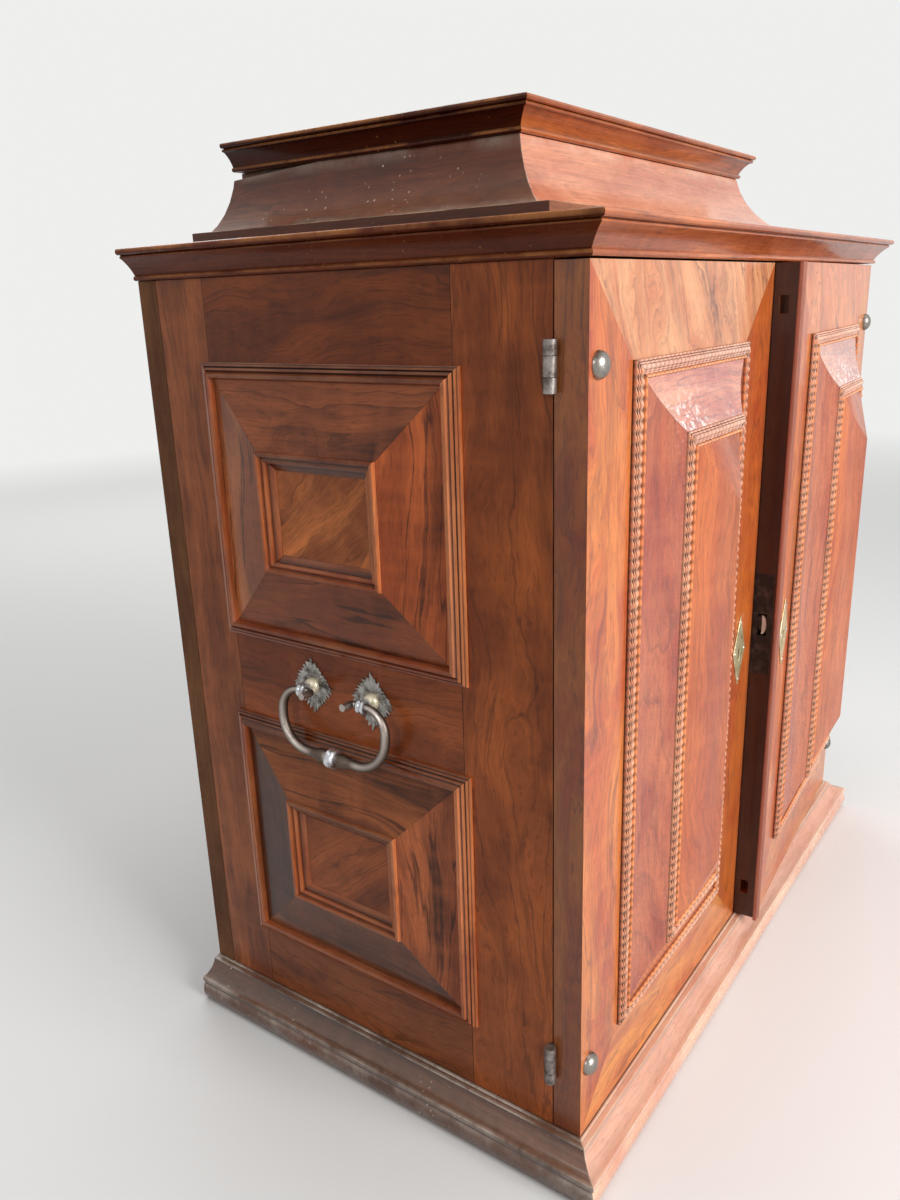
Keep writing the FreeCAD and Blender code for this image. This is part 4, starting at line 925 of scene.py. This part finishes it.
def border_veneer(body, tints):
    """Four mitred veneers of a door's border, from its corners to the ripple frame."""
    low, high = closed_box(body + "_board", body)
    ring_low, ring_high = closed_box(body + "_outer_ripple_frame", body)
    outer = [(low.x, low.z), (high.x, low.z), (high.x, high.z), (low.x, high.z)]
    inner = [(ring_low.x, ring_low.z), (ring_high.x, ring_low.z), (ring_high.x, ring_high.z),
             (ring_low.x, ring_high.z)]
    bm = bmesh.new()
    layers = grain_layers(bm)
    for index in range(4):
        after = (index + 1) % 4
        corners = [outer[index], outer[after], inner[after], inner[index]]
        front = [bm.verts.new((x, low.y - VENEER_T, z)) for x, z in corners]
        back = [bm.verts.new((x, low.y + VENEER_T, z)) for x, z in corners]
        leaf = [bm.faces.new(front), bm.faces.new(back[::-1])]
        for k in range(4):
            leaf.append(bm.faces.new((front[k - 1], back[k - 1], back[k], front[k])))
        top = index == 2
        lay_grain(leaf, layers, body + str(index), tints[index], 2 * (index % 2), BURR_SLANT * top)
        for face in leaf:
            face.material_index = int(top)
    bmesh.ops.recalc_face_normals(bm, faces=bm.faces)
    name = body + "_border_veneer"
    veneer = finished(name, mesh_from(name, bm), DOOR_WALNUT, body)
    veneer.data.materials.append(PALE_SHEENED_WALNUT)


def door_core(body):
    """Door board, with painted shade on the edge that meets the other door."""
    core = boards(body + "_core", body + "_board", DOOR_WALNUT,
                  tints=[EDGE_STRIP_TINT], along=2)
    back = door_turn(body).inverted()
    places = [(back @ v.co).x for v in core.data.vertices]
    free_x = max(places) if body == "left_door" else min(places)
    tint = core.data.attributes["tint"]
    for v, place, value in zip(core.data.vertices, places, tint.data):
        # painted shade on the meeting edge
        if abs(place - free_x) < EDGE_BAND and abs(v.normal.x) > EDGE_FACING:
            value.color = (*MEETING_EDGE_SHADE, 1)


def door(side):
    body = side + "_door"
    door_core(body)
    border_veneer(body, BORDER_SHEEN_AND_SHADE_TINTS[side])
    boards(body + "_hollow_band", body + "_pillow_band", BAND_WALNUT, MOULDING_EDGE,
           tints=BAND_SHEEN_TINTS)
    boards(body + "_ridge_panel", body + "_hipped_panel", PANEL_WALNUT, MOULDING_EDGE, along=2)
    ripple_frame(body + "_outer_ripples", body + "_outer_ripple_frame")
    ripple_frame(body + "_inner_ripples", body + "_inner_ripple_frame")
    boards(body + "_keyhole_plate", body + "_escutcheon", OLD_BRASS, PLATE_EDGE)
    keyhole(body)
    boards(body + "_hinge_plates", body + "_hinge_leaves", WORN_IRON, METAL_EDGE)
    hinge_studs(body)


# Carcass, top and sides

def side_wall(side):
    start = side + "_side_"
    boards(start + "stiles_and_rails", start + "frame", SIDE_WALNUT, tints=FRAME_TINTS)
    boards(start + "fields", start + "panels", SIDE_WALNUT, MOULDING_EDGE, FIELD_TINTS,
           slant=FIELD_SLANT)
    boards(start + "pillow_boards", start + "pillows", PILLOW_WALNUT, MOULDING_EDGE,
           PILLOW_LIGHT_AND_SHADE_TINTS)
    for name, node in (("panel_mouldings", "mouldings"), ("field_mouldings", "field_frames")):
        boards(start + name, start + node, MOULDING_WALNUT, 0, SIDE_MOULDING_LIGHT_AND_SHADE_TINTS,
               moulded=True)


def moulding_run(name, node, materials, tints):
    """Front, left and right lengths of a moulding round the cabinet."""
    for part, material, tint in zip(("front", "left", "right"), materials, tints):
        boards(name + "_" + part, node + "_" + part, material, MITRE_EDGE, [tint], moulded=True)


def carcass():
    base = [BASE_WALNUT, DUSTY_BASE_WALNUT, BASE_WALNUT]
    cove = [COVE_WALNUT, DUSTY_COVE_WALNUT, COVE_WALNUT]
    moulding_run("base_torus", "base_moulding", base, BASE_TINTS)
    crests = [MOULDING_WALNUT, CREST_WALNUT, MOULDING_WALNUT]
    moulding_run("cornice_length", "cornice", crests, CORNICE_TINTS)
    moulding_run("cove_board", "cove", cove, COVE_TINTS)
    moulding_run("lid_nose", "lid_moulding", crests, LID_TINTS)
    boards("deck", "top_board", TOP_WALNUT)
    boards("step_strips", "step_frame", TOP_WALNUT, tints=STEP_TINTS)
    boards("lid_top", "lid_board", TOP_WALNUT)
    for name in ("back_boards", "cove_back", "base_frame", "bottom_board", "shelves", "shelf_battens"):
        boards("pine_" + name, name, OLD_PINE)


# Ironwork

def circle(bm, centre, side, over, radius):
    """Ring of corners round a centre, in the plane of two unit vectors."""
    turns = [2 * math.pi * k / ROUND_STEPS for k in range(ROUND_STEPS)]
    return [bm.verts.new(centre + (side * math.cos(t) + over * math.sin(t)) * radius) for t in turns]


def bridge(bm, rings):
    """Faces between closed rings that follow one another."""
    for near, far in zip(rings, rings[1:]):
        for k in range(len(near)):
            bm.faces.new((near[k - 1], near[k], far[k], far[k - 1]))


def lathe(bm, profile, start, axis):
    """Turn a profile of (distance along the axis, radius) round an axis."""
    axis = Vector(axis).normalized()
    side = axis.orthogonal().normalized()
    over = axis.cross(side)
    rings = [circle(bm, Vector(start) + axis * way, side, over, radius) for way, radius in profile]
    bridge(bm, rings)
    return rings


def capped(bm, rings):
    bm.faces.new(rings[0][::-1])
    bm.faces.new(rings[-1])


def tube(bm, path, radii):
    """Round bar along a path whose thickness follows the radii."""
    rings = []
    side = None
    for index, point in enumerate(path):
        ahead = path[min(index + 1, len(path) - 1)] - path[max(index - 1, 0)]
        ahead.normalize()
        side = side or ahead.orthogonal()
        side = (side - ahead * side.dot(ahead)).normalized()
        over = ahead.cross(side)
        rings.append(circle(bm, point, side, over, radii[index]))
    bridge(bm, rings)
    capped(bm, rings)


def metal_piece(name, bm, material, body, slot, *nodes):
    """Finish turned or forged pieces and put them in the place of CAD nodes."""
    bmesh.ops.recalc_face_normals(bm, faces=bm.faces)
    shade_by_angle(bm)
    piece = finished(name, mesh_from(name, bm), material, body)
    if nodes:
        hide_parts(*nodes)
    return piece


def dome_profile(radius, height, seat=0.0):
    """Low dome with a small rim at its seat."""
    turns = [math.pi / 2 * step / DOME_STEPS for step in range(DOME_STEPS + 1)]
    arc = [(seat + height * math.sin(t), max(radius * math.cos(t), DOME_TIP * radius)) for t in turns]
    return [(0.0, radius)] + arc


def hinge_studs(body):
    """Polished domed studs that hold the hinge leaves."""
    low, high = closed_box(body + "_hinge_studs", body)
    face_y = closed_box(body + "_board", body)[0].y
    middle_x = (low.x + high.x) / 2
    dome = dome_profile(STUD_R, STUD_H - STUD_RIM, STUD_RIM)
    bm = bmesh.new()
    for z in (low.z + STUD_FOOT_R, high.z - STUD_FOOT_R):
        capped(bm, lathe(bm, dome, (middle_x, face_y, z), (0, -1, 0)))
    metal_piece(body + "_domed_studs", bm, STUD_STEEL, body, "bright_steel", body + "_hinge_studs")


def keyhole(body):
    """Painted shadow of the keyhole: a dark disc behind its plate; and the four pins of the plate."""
    low, high = closed_box(body + "_escutcheon", body)
    centre = (low + high) / 2
    hole, pins = bmesh.new(), bmesh.new()
    depth = [(0.0, KEYHOLE_SHADOW_R), (KEYHOLE_SHADOW_T, KEYHOLE_SHADOW_R * KEYHOLE_SHADOW_TAPER)]
    capped(hole, lathe(hole, depth, (centre.x, high.y, centre.z - KEYHOLE_SHADOW_DROP), (0, -1, 0)))
    reach_x = (high.x - low.x) / 2 - PIN_INSET_X
    reach_z = (high.z - low.z) / 2 - PIN_INSET_Z
    for x, z in ((-reach_x, 0), (reach_x, 0), (0, -reach_z), (0, reach_z)):
        place = (centre.x + x, low.y, centre.z + z)
        capped(pins, lathe(pins, dome_profile(PIN_R, PIN_H), place, (0, -1, 0)))
    metal_piece(body + "_keyhole_shadow", hole, KEYHOLE_SHADOW, body, "dark_iron")
    metal_piece(body + "_plate_pins", pins, BRIGHT_STEEL, body, "bright_steel")


def bolt_hook():
    """Bright crescent on the nose of the lock bolt: worn metal, with a painted highlight of its rounded
    nose.
    """
    low, high = closed_box("lock_bolt", "lock_bolt")
    middle = (low + high) / 2
    reach, belly = (high.z - low.z) / 2 * HOOK_SHARE, (high.y - low.y) / 2
    bm = bmesh.new()
    rows = []
    for step in range(BEND_STEPS + 1):
        turn = math.pi * (step / BEND_STEPS - 0.5)
        z = middle.z + reach * math.sin(turn)
        outer = middle.y - belly * math.cos(turn)
        inner = middle.y - belly * HOOK_HOLLOW * math.cos(turn) + HOOK_TIP
        rows.append([bm.verts.new((x, y, z)) for x in (low.x - HOOK_T, low.x) for y in (outer, inner)])
    for near, far in zip(rows, rows[1:]):
        for a, b in ((0, 1), (1, 3), (3, 2), (2, 0)):
            bm.faces.new((near[a], near[b], far[b], far[a]))
    for row in (rows[0], rows[-1]):
        bm.faces.new((row[0], row[1], row[3], row[2]))
    metal_piece("bolt_hook", bm, BRIGHT_STEEL, "lock_bolt", "bright_steel")


def arc_points(centre, radius, start, end):
    """Quarter of a circle from one direction to another."""
    turns = [math.pi / 2 * step / BEND_STEPS for step in range(BEND_STEPS + 1)]
    return [Vector(centre) + Vector(start) * radius * math.cos(a) + Vector(end) * radius * math.sin(a)
            for a in turns]


def bail_path():
    """Middle line of a bail about the Y axis, from one bent-out end to the other."""
    eye_y = BAIL_END_IN + BAIL_END_BEND_R
    half_w = POST_PITCH / 2 + BAIL_SHOULDER_OUT
    shoulder = BAIL_SHOULDER_R
    lower_r = BAIL_DROP - shoulder - BAIL_ARM_L
    half = [Vector((-BAIL_END_OUT, BAIL_END_IN, 0))]
    half += arc_points((-BAIL_END_BEND_R, eye_y, 0), BAIL_END_BEND_R, (0, -1, 0), (1, 0, 0))
    half += arc_points((0, half_w - shoulder, -shoulder), shoulder, (0, 0, 1), (0, 1, 0))
    half += arc_points((0, half_w - lower_r, -shoulder - BAIL_ARM_L), lower_r, (0, 1, 0), (0, 0, -1))
    steps = [1 - step / BEND_STEPS for step in range(BEND_STEPS)]
    middle = [Vector((0, BAIL_STRAIGHT_L * share, -BAIL_DROP)) for share in steps]
    half += [point for point in middle if point.y < half[-1].y]
    return half + [Vector((p.x, -p.y, p.z)) for p in reversed(half)]


def bail_radius(point):
    """Thin at the eyes, thicker in the arms, swelling to a baluster beside the middle ring."""
    low = min(1.0, max(0.0, -point.z / BAIL_ARM_FULL_Z))
    arm = BAIL_R + (BAIL_ARM_R - BAIL_R) * math.sin(math.pi / 2 * low)
    if point.z > -BAIL_DROP / 2:
        return arm
    away = (abs(point.y) - BAIL_SWELL_Y) / BAIL_SWELL_L
    swell = 0.5 + 0.5 * math.cos(math.pi * max(-1.0, min(1.0, away)))
    return arm + (BAIL_SWELL_R - arm) * swell


def stain_bail(piece, pivot, out):
    """Brown patina beside the middle ring, and painted light: bright where the bar faces GLINT_SIDE, painted
    shade on the rest.
    """
    patina_and_shade = piece.data.attributes.new("patina_and_shade", "FLOAT", "POINT")
    glint_way = Vector((out * GLINT_SIDE[0], GLINT_SIDE[1], GLINT_SIDE[2])).normalized()
    for v, mark in zip(piece.data.vertices, patina_and_shade.data):
        off = v.co - pivot
        away = abs(abs(off.y) - STAIN_Y) / STAIN_REACH
        beside_ring = min(1.0, 2 * (1 - away)) if off.z < -BAIL_DROP / 2 else 0.0
        # Patina beside the ring; painted shade away from the glint side
        mark.value = max(beside_ring, 1 - max(0.0, v.normal.dot(glint_way)) ** GLINT_FOCUS)
        if out * off.x > STUB_OUT and off.z > -STUB_OUT:
            mark.value = STUB_STAIN


def drop_handle(side):
    body = side + "_bail"
    pivot = Vector(joint(body + "_swing")["pos_m"])
    out = -1 if side == "left" else 1
    bm = bmesh.new()
    path = bail_path()
    tube(bm, path, [bail_radius(point) for point in path])
    ring = bmesh.new()
    lathe(ring, [(way * MM, radius * MM) for way, radius in BAIL_RING], (0, 0, -BAIL_DROP), (0, 1, 0))
    for part in (bm, ring):
        part.transform(Matrix.Rotation(BAIL_LEAN, 4, "Y"))
        if side == "right":
            part.transform(Matrix.Scale(-1, 4, (1, 0, 0)))
        part.transform(Matrix.Translation(pivot))
    metal_piece(side + "_bail_ring", ring, RING_METAL, body, "bail_metal")
    piece = metal_piece(side + "_drop_handle", bm, BAIL_METAL, body, "bail_metal", side + "_bail")
    stain_bail(piece, pivot, out)
    return pivot, out


def rosette(bm, centre, out, seed):
    """Saw-edged leaf plate with veins and teeth that curl off the wood."""
    chance = random.Random(seed)
    spokes = 2 * LEAF_TEETH
    rim, top, hub = [], [], []
    for index in range(spokes):
        turn = 2 * math.pi * index / spokes + math.pi / 2
        reach = (abs(math.cos(turn) / (ROSETTE_W / 2)) ** LEAF_POWER
                 + abs(math.sin(turn) / (ROSETTE_H / 2)) ** LEAF_POWER) ** (-1 / LEAF_POWER)
        tooth = index % 2 == 0
        reach *= (1 if tooth else LEAF_NOTCH) - chance.uniform(0, LEAF_RAGGED)
        curl = chance.uniform(*LEAF_CURL) if tooth else 0
        lean = 0 if not tooth else -LEAF_LEAN * math.cos(turn)
        across = Vector((0, math.cos(turn + lean), math.sin(turn + lean)))
        rim.append([across * reach, curl])
        flat = Vector((0, math.cos(turn), math.sin(turn)))
        top.append([flat * reach * LEAF_FOLD, ROSETTE_T * (VEIN_LEVELS if tooth else HOLLOW_LEVELS)[0]])
        hub.append([flat * POST_R * HUB_SHARE, ROSETTE_T * (VEIN_LEVELS if tooth else HOLLOW_LEVELS)[1]])
    loops = []
    for ring, base in ((hub, 0), (top, 0), (rim, ROSETTE_T * RIM_LEVEL)):
        loops.append([bm.verts.new(centre + p + Vector((out * (base + rise), 0, 0))) for p, rise in ring])
    loops.append([bm.verts.new(centre + p + Vector((out * rise * CURL_BACK, 0, 0))) for p, rise in rim])
    loops.append([bm.verts.new(centre + p * BACK_SHARE) for p, _ in top])
    loops.append([bm.verts.new(centre + p) for p, _ in hub])
    bridge(bm, loops)
    capped(bm, [loops[0], loops[-1]])


def handle_fittings():
    """Leaf rosettes and domed posts with eyes on both sides of the cabinet."""
    leaves, posts, eyes = bmesh.new(), bmesh.new(), bmesh.new()
    for side in ("left", "right"):
        pivot, out = drop_handle(side)
        low, high = closed_box("handle_rosettes", "carcass")
        seat_x = (low.x if out < 0 else high.x) - out * ROSETTE_T
        for step in (-0.5, 0.5):
            centre = Vector((seat_x, pivot.y + step * POST_PITCH, pivot.z))
            rosette(leaves, centre, out, side + str(step))
            face = centre + Vector((out * ROSETTE_T * POST_SEAT, 0, 0))
            capped(posts, lathe(posts, dome_profile(POST_R, POST_H, POST_RIM), face, (out, 0, 0)))
            reach = abs(pivot.x - face.x)
            neck = [(0, POST_NECK_R), (reach - POST_EYE_R * NECK_SHARE, POST_NECK_R)]
            capped(eyes, lathe(eyes, neck, face, (out, 0, 0)))
            eye = Vector((pivot.x, centre.y, pivot.z))
            loop = [(way * POST_EYE_T / 2, radius * MM) for way, radius in EYE_RING]
            rings = lathe(eyes, loop, eye, (0, 1, 0))
            bridge(eyes, [rings[-1], rings[0]])
    metal_piece("leaf_rosettes", leaves, LEAF_IRON, "carcass", "worn_iron", "handle_rosettes")
    metal_piece("domed_posts", posts, POST_METAL, "carcass", "worn_iron", "handle_posts")
    metal_piece("post_eyes", eyes, EYE_IRON, "carcass", "worn_iron")


def ironwork():
    for name, node, material, slot, edge in (
        ("door_hinge_knuckles", "carcass_hinge_leaves", WORN_IRON, "worn_iron", METAL_EDGE),
        ("hinge_pins", "door_hinge_pins", WORN_IRON, "worn_iron", 0),
        ("lid_hinges_lower", "lid_hinge_lower_leaves", DARK_IRON, "dark_iron", METAL_EDGE),
        ("lid_hinges_upper", "lid_hinge_upper_leaves", DARK_IRON, "dark_iron", METAL_EDGE),
        ("lid_pins", "lid_hinge_pins", DARK_IRON, "dark_iron", 0),
        ("lock_edge_plate", "right_door_lock_case", DARK_IRON, "dark_iron", METAL_EDGE),
        ("strike", "left_door_strike_plate", DARK_IRON, "dark_iron", METAL_EDGE),
        ("bolt", "lock_bolt", DARK_IRON, "bright_steel", METAL_EDGE),
    ):
        boards(name, node, material, edge)
    bolt_hook()
    boards("meeting_strip", "right_door_astragal", RIPPLE_WALNUT, MOULDING_EDGE,
           [MEETING_STRIP_TINT])
    handle_fittings()


# Stage

def camera():
    fwd = Vector((math.sin(CAMERA_YAW) * math.cos(CAMERA_PITCH),
                  math.cos(CAMERA_YAW) * math.cos(CAMERA_PITCH), -math.sin(CAMERA_PITCH)))
    flat = Vector((math.cos(CAMERA_YAW), -math.sin(CAMERA_YAW), 0))
    up = flat.cross(fwd)
    right = math.cos(CAMERA_ROLL) * flat + math.sin(CAMERA_ROLL) * up
    above = math.cos(CAMERA_ROLL) * up - math.sin(CAMERA_ROLL) * flat
    data = bpy.data.cameras.new("camera")
    data.sensor_fit = "VERTICAL"
    data.sensor_height = SENSOR_H
    data.lens = CAMERA_LENS
    eye = bpy.data.objects.new("camera", data)
    turn = Matrix((right, above, -fwd)).transposed().to_4x4()
    eye.matrix_world = Matrix.Translation(CAMERA_PLACE) @ turn
    show(eye)
    bpy.context.scene.camera = eye


def softbox(name, place, size, power):
    """Square lamp that faces the middle of the cabinet."""
    data = bpy.data.lights.new(name, "AREA")
    data.shape = "SQUARE"
    data.size = size
    data.energy = power
    lamp = bpy.data.objects.new(name, data)
    lamp.location = place
    lamp.rotation_euler = (Vector((0, 0, LAMP_AIM_Z)) - Vector(place)).to_track_quat("-Z", "Y").to_euler()
    show(lamp)


def pale_rays(tree):
    """One for the rays that meet the pale studio: seen, passed through or mirrored."""
    path = add(tree, "LightPath").outputs
    seen = sums(tree, "MAXIMUM", path["Is Camera Ray"], path["Is Transmission Ray"])
    return sums(tree, "MAXIMUM", seen, path["Is Glossy Ray"])


def backdrop():
    """Soft even light, with a pale wall where the camera looks past the cabinet."""
    world = bpy.data.worlds.new("studio")
    bpy.context.scene.world = world
    world.use_nodes = True
    tree = world.node_tree
    tree.nodes.clear()
    seen = pale_rays(tree)
    wall = add(tree, "Background", {"Color": WALL_COLOUR, "Strength": 1.0}).outputs[0]
    light = add(tree, "Background", {"Color": (1, 1, 1, 1), "Strength": SKY_LEVEL}).outputs[0]
    mixed = add(tree, "MixShader", {0: seen, 1: light, 2: wall}).outputs[0]
    add(tree, "OutputWorld", {"Surface": mixed})


def floor():
    """Pale floor that keeps the cabinet's shadow and runs into the pale wall far away."""
    material, tree, shader = blank_material("pale_floor")
    seen = pale_rays(tree)
    give(tree, shader["Base Color"], blended(tree, seen, FLOOR_BOUNCE, FLOOR_COLOUR))
    shader["Roughness"].default_value = FLOOR_ROUGHNESS
    shader["Specular IOR Level"].default_value = FLOOR_SHINE
    away = length(tree, object_place(tree))
    far = times(tree, between(tree, away, FLOOR_NEAR, FLOOR_FAR), seen)
    wall = add(tree, "Emission", {"Color": WALL_COLOUR}).outputs[0]
    surface = next(n for n in tree.nodes if n.type == "BSDF_PRINCIPLED").outputs[0]
    mixed = add(tree, "MixShader", {0: far, 1: surface, 2: wall}).outputs[0]
    give(tree, next(n for n in tree.nodes if n.type == "OUTPUT_MATERIAL").inputs["Surface"], mixed)
    reach = FLOOR_REACH
    corners = [(-reach, -reach, 0), (reach, -reach, 0), (reach, reach, 0), (-reach, reach, 0)]
    piece = bpy.data.objects.new("floor", new_mesh("floor", corners, [(0, 1, 2, 3)]))
    piece.data.materials.append(material)
    show(piece)


def studio():
    backdrop()
    floor()
    for name, place, size, power in SOFTBOXES:
        softbox(name, place, size, power)


for side in ("left", "right"):
    door(side)
    side_wall(side)
carcass()
ironwork()
camera()
studio()
bpy.context.scene.view_settings.view_transform = "Standard"
